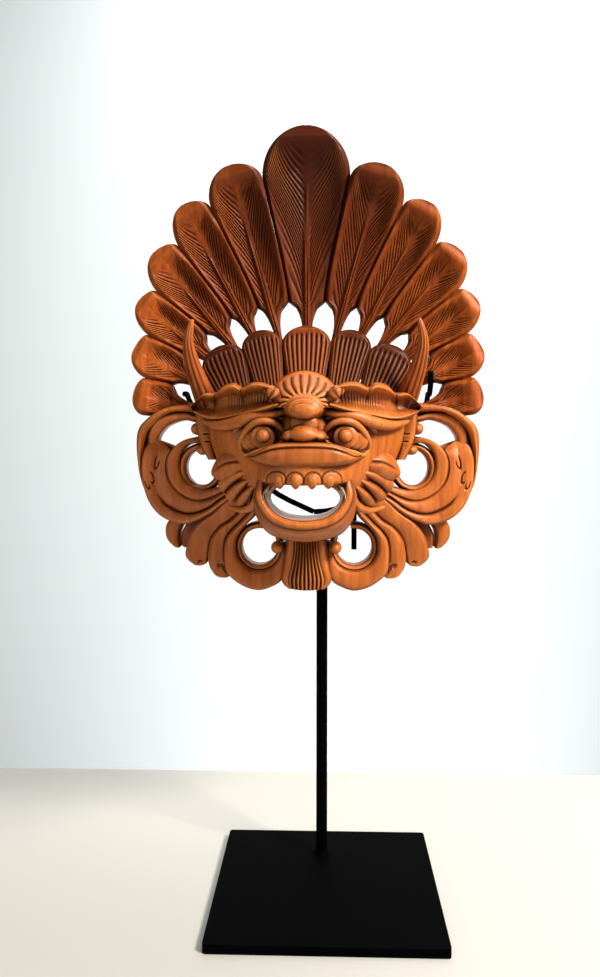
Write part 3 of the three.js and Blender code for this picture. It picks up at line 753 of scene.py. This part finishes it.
def nose():
    """A broad round tip with flared wings and nostrils, a short bridge, and the round top it rises to
    in three tiers, each lower below its centre than above it."""

    def relief(x, v):
        side = np.abs(x)
        height = melted([
            rounded(x, v, (0.0, 1.6), (8.4, 5.2), 98.0, 8.0),
            rounded(x, v, (0.0, -0.6), (12.8, 3.6), 94.5, 7.0),
            rounded(side, v, (8.4, 0.4), (4.6, 3.4), 94.0, 6.0),
            rounded(x, v, (0.0, 8.0), (8.4, 6.6), 89.5, 4.0),
            rounded(x, v, (0.0, 5.0), (15.0, 13.0), 85.5, 10.0),
        ], 1.9)
        nostril = np.exp(-((side - 7.6) ** 2 + (v + 2.6) ** 2) / 1.6)

        def tier(centre, radii, low, top, fall):
            stretch = np.where(v < centre, radii[1] / low, 1.0)
            return rounded(x, centre + (v - centre) * stretch, (0.0, centre), radii, top, fall)

        dome = melted([
            tier(17.2, (11.6, 8.6), 6.2, 93.6, 5.0),
            tier(16.4, (9.8, 6.4), 5.6, 95.6, 3.0),
            tier(15.6, (8.0, 4.4), 5.0, 97.4, 4.0),
        ], 0.2)
        return melted([height - 2.5 * nostril, dome], 0.4)

    return [patch((-16.5, -5.0, 16.5, 33.0), 58.0, relief, count=112)]


def eyes():
    """A bulging ball with a ringed, raised pupil, under a thick lid that curls round the outer corner."""

    def relief(x, v):
        return melted([
            rounded(x, v, (24.0, -0.8), (16.0, 11.0), 79.5, 5.0),
            rounded(x, v, (26.2, -1.2), (11.2, 9.2), 83.5, 9.0),
            rounded(x, v, (25.3, -0.2), (7.4, 6.9), 84.8, 2.0),
            rounded(x, v, (25.1, 0.4), (4.4, 4.3), 88.4, 4.4),
        ], 0.25)

    globe = patch((12.5, -12.0, 39.5, 9.6), 56.0, relief, count=92)
    lid = bar(
        [[11.5, 0.5, 77], [13.5, 4.4, 80], [18.1, 8.2, 83], [24.4, 9.6, 84], [31.2, 7.8, 81.5],
         [36.9, 2.6, 77], [40.2, -3.6, 71.5], [39.4, -8.6, 69]],
        swell(0.7, 1.6, 0.5), along=110, depth=1.25,
    )
    lower = bar(
        [[11.5, 0.5, 77], [15, -4.2, 82.5], [22.5, -7.0, 84], [30.5, -9.6, 81.5], [36.5, -11.2, 75.5],
         [40.0, -8.0, 69]],
        swell(0.7, 0.7, 0.7), along=80, depth=1.2,
    )
    return both([globe, lid, lower])


def upper_lip():
    """The upper lip hangs over the teeth as one broad smooth band with a thin rolled upper rim."""
    rim = symmetric([[38, -10.2], [31, -10.2], [25, -7.4], [16, -4.5], [0, -3.6]])
    roll = symmetric([[38, -11.0], [31.5, -12.2], [25.5, -9.9], [16, -7.4], [0, -6.7]])
    low = symmetric([[38, -11.8], [33, -13.6], [27, -15.8], [17, -17.3], [0, -17.9]])

    def tuck(s, t):
        return -1.6 * smooth(0.45, 1.0, t) * arch(s) ** 0.5, 0.0

    return ribbed([rim, roll, low], swell(70.0, 27.5, 0.55), flat(58.0), along=120, across=20,
                  groove=0.7, crown=1.0, edge=2.2, edge_width=2.5, detail=tuck)


def upper_jaw():
    """The plain plate under the lip, scalloped round the root of each tooth."""
    top = symmetric([[34, -13], [16, -14], [0, -15]])
    low = symmetric([[31, -26], [25, -27.5], [12, -28.8], [0, -29.2]])

    def detail(s, t):
        x = mix(-32.0, 32.0, s)
        v = mix(-14.5, -29.0, t)
        arcs = np.zeros_like(x)
        for tooth in TEETH_X:
            away = np.hypot(x - tooth, (v + 26.6) * 0.95)
            arcs = arcs + line_at(away, 4.9, 0.6)
        return -0.9 * arcs, 0.35 * arcs

    return ribbed([top, low], swell(64.0, 29.0, 0.5), flat(62.0), along=140, across=50, edge=1.0,
                  detail=detail)


def teeth():
    """Four round teeth that come down to short points."""
    radii = spline([[1.5], [3.2], [3.9], [3.6], [2.8], [1.8], [0.6]])
    levels = ((-22.6, -2.0), (-25.2, 0.0), (-28.0, 0.0), (-30.0, -0.8), (-31.8, -1.6))
    forms = []
    for x in TEETH_X:
        front = 91.5 - 9.0 * (x / 20.0) ** 2
        line = [[x, v, front + h] for v, h in levels]
        forms.append(bar(line, lambda s: radii(s)[..., 0], along=40, depth=0.9))
    return forms


def lower_jaw():
    """A deep scoop: a rolled lip round the mouth, then a broad chin with a fine hatch on one side."""
    outer = symmetric([[27, -17], [31, -27], [34, -37], [33.2, -46], [28, -57], [19, -64], [0, -67.3]])
    lip = symmetric([[27, -18], [29, -28], [30.5, -36], [27.5, -44.5], [21.5, -51.5], [12, -55.8],
                     [0, -57.2]])
    rim = symmetric([[24, -20], [24.6, -28], [24.8, -35], [22.5, -41.5], [17, -47.5], [9, -50.8],
                     [0, -51.7]])

    def detail(s, t):
        fall = -28.0 * smooth(0.35, 1.08, t) ** 1.8
        hatched = smooth(0.56, 0.66, t) * smooth(0.97, 0.88, t)
        hatched = hatched * smooth(0.54, 0.62, s) * smooth(0.86, 0.76, s)
        hatch = 0.45 * hatched * (1.0 - strokes(80.0 * s + 6.0 * t, 0.7))
        line = 0.5 * line_at(t, 0.57, 0.016) * arch(s)
        return fall - line - hatch, hatch

    return ribbed([rim, lip, outer], swell(76.0, 12.0, 0.8), flat(36.0), along=190, across=30, tip=0.03,
                  root=0.03, groove=0.4, width=0.9, crown=1.0, edge=1.5, detail=detail)


def mouth_lining():
    """The thin pale wall of the open mouth, from the rolled lip back to the hollow behind the face."""
    inner_face = ((22.3, 11.6, -39.4, 50.0), (22.5, 11.9, -39.4, 58.0), (23.4, 12.8, -38.9, 70.0))
    front_edge = ((25.3, 14.3, -37.7, 84.0), (27.0, 16.0, -37.7, 80.0))
    outer_face = ((25.6, 14.8, -38.4, 62.0), (24.3, 13.4, -39.4, 50.0))
    angle = np.linspace(0.0, 2.0 * np.pi, 120, endpoint=False)
    rings = []
    for wide, high, centre, h in (*inner_face, *front_edge, *outer_face):
        drop = np.where(np.sin(angle) > 0.0, 6.0, 0.0) * (h > 70.0)
        x, v = wide * np.cos(angle), centre + high * np.sin(angle)
        rings.append(put(x, v, np.maximum(h - drop * np.sin(angle), hollow_top(x, v) - 3.0)))
    verts, quads, tris, marks = loft(np.stack(rings), ring_closed=True)
    return verts, quads, tris, np.zeros_like(marks)


def horn():
    """A horn with three long creases, curved up and in to a blunt point."""

    def crease(s, angle):
        lanes = 0.0
        for place in (0.75, 1.35, 1.95):
            lanes = lanes + line_at(angle, place + 0.25 * s, 0.1)
        return 0.11 * lanes * smooth(1.0, 0.7, s)

    return bar(
        [[63, 19, 42], [68, 31, 47], [73, 47, 53], [75, 61, 57], [72.3, 75, 58]],
        lambda s: 8.2 * (1.0 - 0.94 * s) ** 0.72, along=110, sides=60, depth=0.9, crease=crease,
    )


def cheek_leaf():
    """A curled leaf that points outwards, over a fan of three rolled blades at the mouth's corner, with
    a round edge under them."""

    def blade(first, second, height, fall, crease=0.5, lift=3.5):
        def detail(s, t):
            line = line_at(t, crease, 0.05) * smooth(0.02, 0.2, s) * smooth(0.95, 0.7, s)
            return -6.0 * (2.0 * t - 1.0) ** 2 - 1.8 * line, 0.8 * line

        return ribbed([spline(first), spline(second)],
                      lambda s: height - fall * s**1.5 + lift * arch(s), flat(22.0),
                      across=36, tip=0.3, crown=0.0, edge=1.4, detail=detail)

    fan = ribbed(
        [spline([[31, -20], [40, -20.5], [50, -23.5], [59, -29.5]]),
         spline([[30, -23], [38, -26], [47, -31], [54.5, -38]]),
         spline([[29.5, -26.5], [36, -31], [42.5, -37], [47.5, -44]]),
         spline([[28, -30], [32, -35.5], [35.5, -41.5], [38, -48]])],
        lambda s: 68.0 - 20.0 * s**1.6 + 3.5 * arch(s), flat(22.0), along=110, across=30, tip=0.16,
        lobed=True, crown=3.2, groove=2.2, width=1.1, step=-2.2,
    )
    lower_edge = [[27, -29, 76], [30, -37.5, 67], [34.5, -44.5, 59], [42, -47.5, 49], [52, -46.5, 36]]
    return [
        blade([[31, -10], [40, -9.5], [49, -9.0], [57, -13], [62.5, -20]],
              [[33, -22], [41, -24], [49, -26.5], [55, -28.4], [61, -27.5]], 67, 17, 0.42, 4.5),
        fan,
        bar(lower_edge, swell(0.8, 1.7, 0.6), along=80, depth=1.2),
    ]


def ear_strip():
    """A narrow upright flange that closes the side of the head, with two nicks across it."""

    def detail(s, t):
        nick = line_at(s, 0.52, 0.012) + line_at(s, 0.66, 0.012)
        nick = nick * smooth(0.05, 0.15, t) * smooth(0.62, 0.5, t)
        return -2.2 * nick, nick

    inner = spline([[61, 21], [63, 9], [63, -3], [60, -15]])
    outer = spline([[73.5, 21], [73.5, 9], [71.5, -3], [66, -15]])
    return ribbed([inner, outer], slope(39.0, 34.0), flat(6.0), along=160, across=30, crown=1.0,
                  edge=2.0, detail=detail)


# ---------------------------------------------------------------- side scrolls


def gouges(marks, length, breadth):
    """Short curled tool marks, each given as (s, t, radius, start angle), for a band of that size. The
    mark's radius shrinks as it turns, so that it winds in."""

    def detail(s, t):
        cut = np.zeros_like(s)
        for along, across, radius, start in marks:
            dx, dy = (s - along) * length, (t - across) * breadth
            turn = np.mod(np.arctan2(dy, dx) - start, 2.0 * np.pi) / (2.0 * np.pi)
            away = np.hypot(dx, dy) - radius * mix(1.0, 0.45, turn)
            ends = smooth(0.75, 0.55, turn) * smooth(0.0, 0.08, turn)
            cut = np.maximum(cut, line_at(away, 0.0, 0.55) * ends)
        return -1.3 * cut, cut

    return detail


def side_scroll():
    """A broad smooth leaf in two ribs, whose groove fades out before its round end, round a lip that
    rings the pierced hole, with a double arch back over to the head. Round bars behind them close the
    seams between leaf and arch and between leaf and lip."""
    lip_inner = [[50, -30], [58, -33.2], [63.1, -34.8], [70.2, -36.4], [78.2, -34.8], [85.2, -29.5],
                 [88.7, -21.6], [87.9, -11.9], [82.6, -4.8], [74.7, -4.2], [69, -7]]
    lip_outer = [[48, -33], [56, -36.5], [62, -39.6], [73.8, -43.1], [83, -41], [91, -35.5], [96, -27],
                 [96.8, -15], [91.6, -6.4], [84.5, -1.6], [75, 0.6]]
    leaf_inner = [[48, -33], [56, -36.8], [65.9, -41.8], [73.8, -43.1], [81.7, -41.8], [88.7, -37.4],
                  [94.9, -30.4], [97.6, -22], [96.5, -13], [92.6, -7.4]]
    leaf_groove = [[46, -35], [57.9, -41], [67.6, -48], [76.4, -51.5], [84.3, -52], [93.2, -48.8],
                   [99.3, -44.4], [104.5, -36], [105.8, -22], [102.6, -2.2]]
    leaf_rim = [[44, -37], [55, -44], [65, -51.5], [74.7, -56.8], [84, -59.4], [94, -57.7],
                [103.5, -52], [110.6, -42], [114.6, -27], [115.0, -14], [111.2, -1.6]]
    seam_line = [[108, -46], [115, -29], [115.4, -13], [113, -2], [109, 7], [102, 13.4], [92, 17.8],
                 [80, 18.2]]
    joint_line = [[92, -9], [98, -6.5], [105, -4.5], [113, -5]]

    def fading(s):
        return smooth(0.0, 0.06, s) * smooth(0.78, 0.62, s)

    curls = gouges([(0.91, 0.40, 3.0, 0.5), (0.84, 0.62, 3.2, 2.6), (0.78, 0.80, 2.6, 1.0)], 92.0, 26.0)

    def marks(s, t):
        rise, cut = curls(s, t)
        return rise - 5.0 * smooth(0.9, 1.02, s) ** 2, cut

    leaf = ribbed([spline(p) for p in (leaf_inner, leaf_groove, leaf_rim)], slope(27.0, 18.5, 0.7),
                  flat(3.0), along=170, across=26, crown=0.7, groove=1.7, width=1.1, edge=2.0, step=1.2,
                  tip=0.07, fade=fading, detail=marks)
    lip = ribbed([spline(lip_inner), spline(lip_outer)], slope(25.0, 17.5, 0.7), flat(3.3), along=120,
                 across=22, edge=1.2, edge_width=1.6, step=1.2)
    hole = (73.6, -20.7)
    ring = ribbed([arc(hole, 11.0, 12.8, -150, 118), arc(hole, 15.8, 16.6, -150, 118)],
                  flat(16.5), flat(4.0), along=110, across=18, crown=1.8, edge=1.2)
    inner_arch = ribbed(
        [spline([[103.8, -6], [103.6, 0.4], [99.4, 6.6], [94, 10.1], [85.3, 12.6], [79, 11.4], [70, 9]]),
         spline([[111.5, -6], [110.8, 3.9], [105.7, 12.6], [95, 17.4], [83.6, 18.0], [77, 15.8],
                 [70, 15]])],
        slope(15.5, 20.0), flat(3.6), along=110, across=20, crown=1.2, edge=1.5,
    )
    outer_arch = ribbed(
        [spline([[107.5, -46], [114.3, -29], [115.0, -15], [113.4, -3], [110.3, 5.4], [103, 12.8],
                 [94, 17.4], [83.6, 18.1], [70, 16.5]]),
         spline([[107.9, -46], [115.2, -30.5], [117.4, -18], [117.9, -2], [115.8, 6.8], [110, 13.2],
                 [102.5, 18.2], [92, 21.6], [70, 24]])],
        slope(15.5, 22.5, 0.6), flat(3.9), along=170, across=20, root=0.05, crown=1.0, edge=1.6,
    )
    seam, joint = (
        bar([[*point, SEAM_HEIGHT] for point in line], flat(SEAM_RADIUS), along=rows, sides=20)
        for line, rows in ((seam_line, 90), (joint_line, 30))
    )
    nubs = [ball((75.5, 6.0, 19), (4.4, 4.2, 8.0)), ball((71.5, -8.5, 19), (4.4, 3.6, 8.0))]
    return both([leaf, lip, ring, inner_arch, outer_arch, seam, joint, *nubs])


# ---------------------------------------------------------------- lower leaves, rings and beard


def lower_leaves():
    """Two broad smooth lobes and the leaf round a pierced ring, split by long grooves, with a folded
    leaf behind them."""
    first_seam = [[40, -40], [45, -49], [51, -56], [59, -61.4], [64.4, -67.5], [67.0, -74]]
    second_seam = [[34, -43], [39, -51], [44.6, -57.4], [51, -63.9]]
    outer_edge = [[46, -34], [55, -42], [64.7, -51.3], [74.4, -58.4], [80.8, -67.2], [83.6, -76],
                  [84.2, -83], [79, -89.6]]
    outer_inner = [*first_seam, [68.0, -81.5], [69.5, -88.5]]
    middle_edge = [*first_seam, [68.2, -86], [64.4, -97]]
    middle_inner = [*second_seam, [55, -70.2], [56, -78], [55.4, -87], [51.5, -97.4]]
    leaf_edge = [*second_seam, [55.4, -71], [56.5, -82], [54.5, -93], [44.2, -101.6], [33.4, -104.8],
                 [24.5, -102.6], [17.5, -98], [13.6, -88], [12.6, -79], [15, -72]]
    leaf_inner = [[32, -47], [36, -54], [41, -59.0], [46.0, -64.8], [48.8, -71], [48.8, -79],
                  [45.5, -86.0], [39.6, -90.6], [32.8, -91.9], [25.5, -90.2], [20.5, -86],
                  [18.2, -81.0], [17.6, -76], [18.5, -71]]
    tick = gouges([(0.94, 0.55, 1.6, 1.2)], 62.0, 15.0)
    crescent = gouges([(0.9, 0.62, 3.0, 0.4), (0.9, 0.62, 1.6, 0.6)], 68.0, 13.0)
    outer = ribbed([spline(outer_edge), spline(outer_inner)], slope(27.0, 17.5), flat(4.0), along=110,
                   across=30, tip=0.07, crown=1.4, edge=2.0, detail=tick)
    middle = ribbed([spline(middle_edge), spline(middle_inner)], slope(28.5, 20.0), flat(5.0), along=110,
                    across=30, tip=0.08, crown=1.2, edge=2.0, detail=crescent)
    leaf = ribbed([spline(leaf_edge), spline(leaf_inner)], slope(29.0, 23.5), flat(6.0), along=170,
                  across=24, crown=1.0, edge=1.6)
    hole = (32.8, -75.4)
    lip = ribbed([arc(hole, 12.8, 13.1, 100, -208), arc(hole, 16.4, 16.9, 100, -208)],
                 flat(21.0), flat(6.4), along=120, across=16, crown=1.4, edge=1.0)
    folded = [
        ribbed([spline([[80, -50], [92, -54], [99, -61], [99.5, -70], [95, -77]]),
                spline([[76, -52], [84, -57], [89, -64], [90, -71], [89, -78]])],
               slope(13.0, 10.0), flat(2.0), along=70, across=20, tip=0.1, crown=1.6),
        ribbed([spline([[76, -52], [83, -58], [87.5, -65], [89, -71], [88.5, -77.5]]),
                spline([[72, -56], [76, -64], [79, -70], [81, -74], [83.5, -78]])],
               slope(10.0, 7.0), flat(2.3), along=70, across=20, tip=0.06, crown=-1.0),
    ]
    knob = ball((19.8, -74.6, 28.0), (4.3, 4.4, 7.5), up=28)
    return both([outer, middle, leaf, lip, *folded, knob])


def beard():
    """A fan of sharp flutes with a round end, between two plain side lobes."""
    lanes = 9
    edge = ((8.0, -58), (8.0, -74), (9.6, -85), (12.6, -97), (11.6, -104.5))
    rails = []
    for k in range(lanes + 1):
        aside = mix(-1.0, 1.0, k / lanes)
        rails.append(spline([[half * aside, v] for half, v in edge]))
    fan = ribbed(rails, slope(39.0, 29.0), flat(8.0), along=110, across=10, tip=0.07, crown=0.9,
                 groove=1.6, width=0.8, edge=1.5, detail=lambda s, t: (4.0 * (arch(t) - 1.0), 0.0))
    lobe = ribbed(
        [spline([[6, -62], [7.0, -76], [8.8, -88], [11, -97], [9.5, -104.5]]),
         spline([[13, -62], [13.8, -76], [15.4, -88], [17.0, -97.5], [13.6, -103.5]])],
        slope(33.0, 25.0), flat(6.8), along=80, across=20, tip=0.06, crown=1.4,
    )
    return [fan, *both([lobe])]


# ---------------------------------------------------------------- materials

# Colours that the wood's marks blend towards. This one is painted shade in the hollows, and dark stain
# with painted shade in the cuts and creases.
SHADE_AND_STAIN = (0.050, 0.010, 0.004, 1.0)
# Darkening by place on the crest and short feathers, partly stain and partly painted shade.
RED_SHADE_AND_STAIN = (0.050, 0.0075, 0.002, 1.0)
# Paler tint for edges that stand out, partly wear and partly a painted highlight.
WEAR_AND_HIGHLIGHT_TINT = (0.76, 0.29, 0.070, 1.0)


def tree_of(name):
    material = bpy.data.materials.new(name)
    material.use_nodes = True
    tree = material.node_tree
    return material, tree, tree.nodes["Principled BSDF"]


def link(tree, *ends):
    for source, target in zip(ends[::2], ends[1::2]):
        tree.links.new(source, target)


def noise_node(tree, coords, scale, detail, stretch=(1, 1, 1)):
    mapping = tree.nodes.new("ShaderNodeMapping")
    mapping.inputs["Scale"].default_value = stretch
    noise = tree.nodes.new("ShaderNodeTexNoise")
    noise.inputs["Scale"].default_value = scale
    noise.inputs["Detail"].default_value = detail
    link(tree, coords, mapping.inputs["Vector"], mapping.outputs["Vector"], noise.inputs["Vector"])
    return noise.outputs["Fac"]


def ramp_node(tree, value, stops):
    ramp = tree.nodes.new("ShaderNodeValToRGB")
    elements = ramp.color_ramp.elements
    while len(elements) < len(stops):
        elements.new(0.5)
    for element, (position, colour) in zip(elements, stops):
        element.position = position
        element.color = (*colour, 1.0)
    link(tree, value, ramp.inputs["Fac"])
    return ramp.outputs["Color"]


def blend_node(tree, factor, first, second, kind="MIX"):
    node = tree.nodes.new("ShaderNodeMix")
    node.data_type = "RGBA"
    node.blend_type = kind
    for socket, value in ((0, factor), (6, first), (7, second)):
        if isinstance(value, bpy.types.NodeSocket):
            link(tree, value, node.inputs[socket])
        else:
            node.inputs[socket].default_value = value
    return node.outputs[2]


def range_node(tree, value, low, high, start, end):
    node = tree.nodes.new("ShaderNodeMapRange")
    for socket, number in zip(("From Min", "From Max", "To Min", "To Max"), (low, high, start, end)):
        node.inputs[socket].default_value = number
    link(tree, value, node.inputs["Value"])
    return node.outputs["Result"]


def math_node(tree, operation, first, second):
    node = tree.nodes.new("ShaderNodeMath")
    node.operation = operation
    link(tree, first, node.inputs[0])
    if isinstance(second, bpy.types.NodeSocket):
        link(tree, second, node.inputs[1])
    else:
        node.inputs[1].default_value = second
    return node.outputs[0]


def bump_normal(tree, shader, height, strength, depth):
    """Leads a texture into the shader's normal as a bump of that depth in metres."""
    node = tree.nodes.new("ShaderNodeBump")
    node.inputs["Strength"].default_value = strength
    node.inputs["Distance"].default_value = depth
    link(tree, height, node.inputs["Height"], node.outputs["Normal"], shader.inputs["Normal"])


def extra_shade_and_stain(tree, coords, aside, levels):
    """Share of extra darkening, partly stain and partly painted shade: the product of a share that changes
    with the distance from the middle and one that changes with height. Each is given as two places in
    metres and the shares at those."""
    split = tree.nodes.new("ShaderNodeSeparateXYZ")
    link(tree, coords, split.inputs[0])
    offset = math_node(tree, "SUBTRACT", split.outputs["X"], MASK_X / 1000.0)
    distance = math_node(tree, "ABSOLUTE", offset, 0.0)
    sideways = range_node(tree, distance, *aside)
    upward = range_node(tree, split.outputs["Z"], *levels)
    return math_node(tree, "MULTIPLY", sideways, upward)


def carved_wood(name, light, dark, wear_and_highlight=0.4, extra=None, gloss=0.4):
    """Waxed wood: long grain up the block, blotches, painted shade in the hollows where ambient occlusion
    finds them, dark stain and painted shade in the cuts and creases, edges paler for wear and as a painted
    highlight, and a fine tool ripple in the bump. Where extra is given, a darkening by place is added,
    partly stain and partly painted shade."""
    material, tree, shader = tree_of(name)
    coords = tree.nodes.new("ShaderNodeTexCoord").outputs["Object"]
    grain = noise_node(tree, coords, 300.0, 5.0, (1.0, 1.0, 0.07))
    blotch = noise_node(tree, coords, 26.0, 3.0, (1.0, 1.0, 0.5))
    body = ramp_node(tree, grain, [(0.3, dark), (0.7, light)])
    mottle = ramp_node(tree, blotch, [(0.3, (0.74, 0.68, 0.62)), (0.7, (1.0, 1.0, 1.0))])
    colour = blend_node(tree, 0.85, body, mottle, "MULTIPLY")
    # Stain and painted shade: darker towards the crest's top middle, and towards the short feathers' outer
    # ends.
    if extra is not None:
        colour = blend_node(tree, extra_shade_and_stain(tree, coords, *extra), colour, RED_SHADE_AND_STAIN)
    # Painted shade: the wood darkens where ambient occlusion finds it hemmed in by nearby surfaces.
    hollow = tree.nodes.new("ShaderNodeAmbientOcclusion")
    hollow.samples = 6
    hollow.inputs["Distance"].default_value = 0.014
    shaded = ramp_node(tree, hollow.outputs["AO"], [(0.2, (1, 1, 1)), (0.85, (0, 0, 0))])
    colour = blend_node(tree, shaded, colour, SHADE_AND_STAIN)
    # The cut mark darkens the wood with stain and painted shade. The other mark pales edges that stand
    # out, for wear and as a painted highlight.
    for mark, strength, tint in (("wear_and_highlight", wear_and_highlight, WEAR_AND_HIGHLIGHT_TINT), ("cut", 0.85, SHADE_AND_STAIN)):
        share = tree.nodes.new("ShaderNodeAttribute")
        share.attribute_name = mark
        scaled = math_node(tree, "MULTIPLY", share.outputs["Fac"], strength)
        colour = blend_node(tree, scaled, colour, tint)
    link(tree, colour, shader.inputs["Base Color"])
    rough = ramp_node(tree, grain, [(0.3, (0.36, 0.36, 0.36)), (0.7, (0.48, 0.48, 0.48))])
    link(tree, rough, shader.inputs["Roughness"])
    ripple = noise_node(tree, coords, 420.0, 3.0, (1.0, 1.0, 0.25))
    bump_normal(tree, shader, ripple, 0.25, 0.0004)
    shader.inputs["Specular IOR Level"].default_value = gloss
    return material


def black_paint(name):
    """Satin black paint over steel, a little uneven, with a faint orange-peel bump."""
    material, tree, shader = tree_of(name)
    coords = tree.nodes.new("ShaderNodeTexCoord").outputs["Object"]
    cloud = noise_node(tree, coords, 40.0, 4.0)
    colour = ramp_node(tree, cloud, [(0.3, (0.0006, 0.0006, 0.0007)), (0.75, (0.0012, 0.0012, 0.0014))])
    rough = ramp_node(tree, cloud, [(0.3, (0.62, 0.62, 0.62)), (0.75, (0.72, 0.72, 0.72))])
    peel = noise_node(tree, coords, 900.0, 2.0)
    bump_normal(tree, shader, peel, 0.12, 0.0003)
    shader.inputs["Specular IOR Level"].default_value = 0.01
    link(tree, colour, shader.inputs["Base Color"], rough, shader.inputs["Roughness"])
    return material


def plain(name, colour, roughness):
    """Plain matt finish of the stage, with a barely visible variation."""
    material, tree, shader = tree_of(name)
    coords = tree.nodes.new("ShaderNodeTexCoord").outputs["Object"]
    cloud = noise_node(tree, coords, 3.0, 2.0)
    low = tuple(0.985 * part for part in colour)
    link(tree, ramp_node(tree, cloud, [(0.3, low), (0.7, colour)]), shader.inputs["Base Color"])
    shader.inputs["Roughness"].default_value = roughness
    return material


# ---------------------------------------------------------------- stage, lights and camera

# The stage is laid out in metres in the shared frame.

CAMERA_PLACE = (0.0, -0.558, 0.306)
CAMERA_PITCH, CAMERA_YAW = 3.0, 1.86
CAMERA_LENS, SENSOR_WIDTH = 30.66, 36.0
TABLE_END, WALL_Y = 0.207, 2.2
STAGE_SIDE, TABLE_FRONT = 4.0, -2.0
WALL_LOW, WALL_HIGH = -2.0, 4.0


def camera():
    data = bpy.data.cameras.new("camera")
    data.sensor_width = SENSOR_WIDTH
    data.lens = CAMERA_LENS
    eye_point = bpy.data.objects.new("camera", data)
    eye_point.location = CAMERA_PLACE
    eye_point.rotation_euler = [math.radians(a) for a in (90.0 - CAMERA_PITCH, 0.0, CAMERA_YAW)]
    bpy.context.scene.collection.objects.link(eye_point)
    bpy.context.scene.camera = eye_point


def flat_sheet(name, corners, material):
    mesh = bpy.data.meshes.new(name)
    mesh.from_pydata(corners, [], [(0, 1, 2, 3)])
    mesh.materials.append(material)
    sheet = bpy.data.objects.new(name, mesh)
    bpy.context.scene.collection.objects.link(sheet)


def stage():
    """A pale table that ends at TABLE_END, and a pale wall some way behind it."""
    table = plain("table_top", (0.46, 0.445, 0.405), 0.7)
    wall = plain("wall_paint", (0.82, 0.87, 0.86), 0.9)
    sides, back_sides = (-STAGE_SIDE, STAGE_SIDE), (STAGE_SIDE, -STAGE_SIDE)
    front = [(x, TABLE_FRONT, 0.0) for x in sides]
    end = [(x, TABLE_END, 0.0) for x in back_sides]
    flat_sheet("table", front + end, table)
    low = [(x, WALL_Y, WALL_LOW) for x in sides]
    high = [(x, WALL_Y, WALL_HIGH) for x in back_sides]
    flat_sheet("wall", low + high, wall)


def lamp(name, place, target, size, power, colour):
    """A rectangular lamp at place, turned so that its face looks at target."""
    data = bpy.data.lights.new(name, "AREA")
    data.shape = "RECTANGLE"
    data.size, data.size_y = size
    data.energy = power
    data.color = colour
    light = bpy.data.objects.new(name, data)
    light.location = place
    away = np.array(place, float) - np.array(target, float)
    turn = math.atan2(away[1], away[0])
    tilt = math.atan2(math.hypot(away[0], away[1]), away[2])
    light.rotation_euler = (0.0, tilt, turn)
    bpy.context.scene.collection.objects.link(light)


def lights():
    middle = (-0.014, 0.0, 0.33)
    lamp("window", (0.62, -0.46, 0.86), middle, (0.22, 0.3), 21.0, (1.0, 0.95, 0.88))
    lamp("fill", (-0.7, -1.0, 0.45), middle, (0.6, 0.6), 3.4, (1.0, 0.96, 0.92))
    lamp("low_wash", (0.2, 0.9, -1.0), (0.1, WALL_Y, 0.0), (2.5, 0.6), 26.0, (0.98, 0.99, 1.0))
    lamp("wall_wash", (0.2, 0.9, 1.7), (0.1, WALL_Y, 0.05), (2.5, 1.0), 44.0, (0.98, 0.99, 1.0))
    world = bpy.data.worlds.new("room")
    world.use_nodes = True
    background = world.node_tree.nodes["Background"]
    background.inputs["Color"].default_value = (0.95, 0.97, 1.0, 1.0)
    background.inputs["Strength"].default_value = 0.16
    bpy.context.scene.world = world
    bpy.context.scene.view_settings.view_transform = "Standard"


# ---------------------------------------------------------------- the object


def mask_pieces(wood, crest_wood, dark_wood, pale_wood):
    """Pieces of the one carving, kept apart only for their size. All stand for the mask's solid."""
    groups = {
        "mask_feathers_middle": [long_feather(0)],
        "mask_feathers_upper": both([long_feather(1), long_feather(2)]),
        "mask_feathers_side": both([long_feather(3), long_feather(4)]),
        "mask_feathers_low": both([long_feather(5), long_feather(6)]),
        "mask_short_feathers": [short_feather(0), *both([short_feather(1), short_feather(2)])],
        "mask_stem_roots": [stem_root(0), *both([stem_root(k) for k in (1, 2, 3)])],
        "mask_horns": both([horn()]),
        "mask_head": [head(), *both([ear_strip(), *cheek_leaf()])],
        "mask_brows": [*both([brow(), brow_curl(), *brow_folds()]), forehead_bun()],
        "mask_face": [*nose(), *eyes(), upper_lip(), upper_jaw(), *teeth()],
        "mask_jaw": [lower_jaw()],
        "mask_side_scrolls": side_scroll(),
        "mask_lower_leaves": [*lower_leaves(), *beard()],
        "mask_mouth": [mouth_lining()],
    }
    finishes = {
        "mask_short_feathers": dark_wood,
        "mask_stem_roots": crest_wood,
        "mask_horns": crest_wood,
        "mask_mouth": pale_wood,
    }
    for name, forms in groups.items():
        finish = finishes.get(name, crest_wood if "feathers" in name else wood)
        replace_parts(make_piece(name, forms, finish), "mask")


def dress_stand(paint):
    for name in ("base_plate", "upright", "cradle"):
        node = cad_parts[name]
        node.data.materials.clear()
        node.data.materials.append(paint)


camera()
stage()
lights()
mask_pieces(
    carved_wood("carved_wood", (0.56, 0.156, 0.024), (0.37, 0.088, 0.012), gloss=0.3),
    # A darker, redder copy of the wood for the crest, partly its stain and partly painted shade.
    carved_wood("carved_wood_crest", (0.47, 0.108, 0.016), (0.25, 0.050, 0.007), wear_and_highlight=0.3,
                extra=((0.02, 0.11, 1.0, 0.2), (0.34, 0.48, 0.3, 1.0)), gloss=0.12),
    # A darker copy still for the short feathers, partly stain and partly painted shade.
    carved_wood("carved_wood_dark", (0.36, 0.085, 0.013), (0.19, 0.038, 0.006), wear_and_highlight=0.12,
                extra=((0.012, 0.030, 0.4, 1.0), (0.0, 0.1, 1.0, 1.0)), gloss=0.12),
    carved_wood("bare_wood", (0.80, 0.63, 0.44), (0.60, 0.44, 0.28)),
)
dress_stand(black_paint("black_paint"))
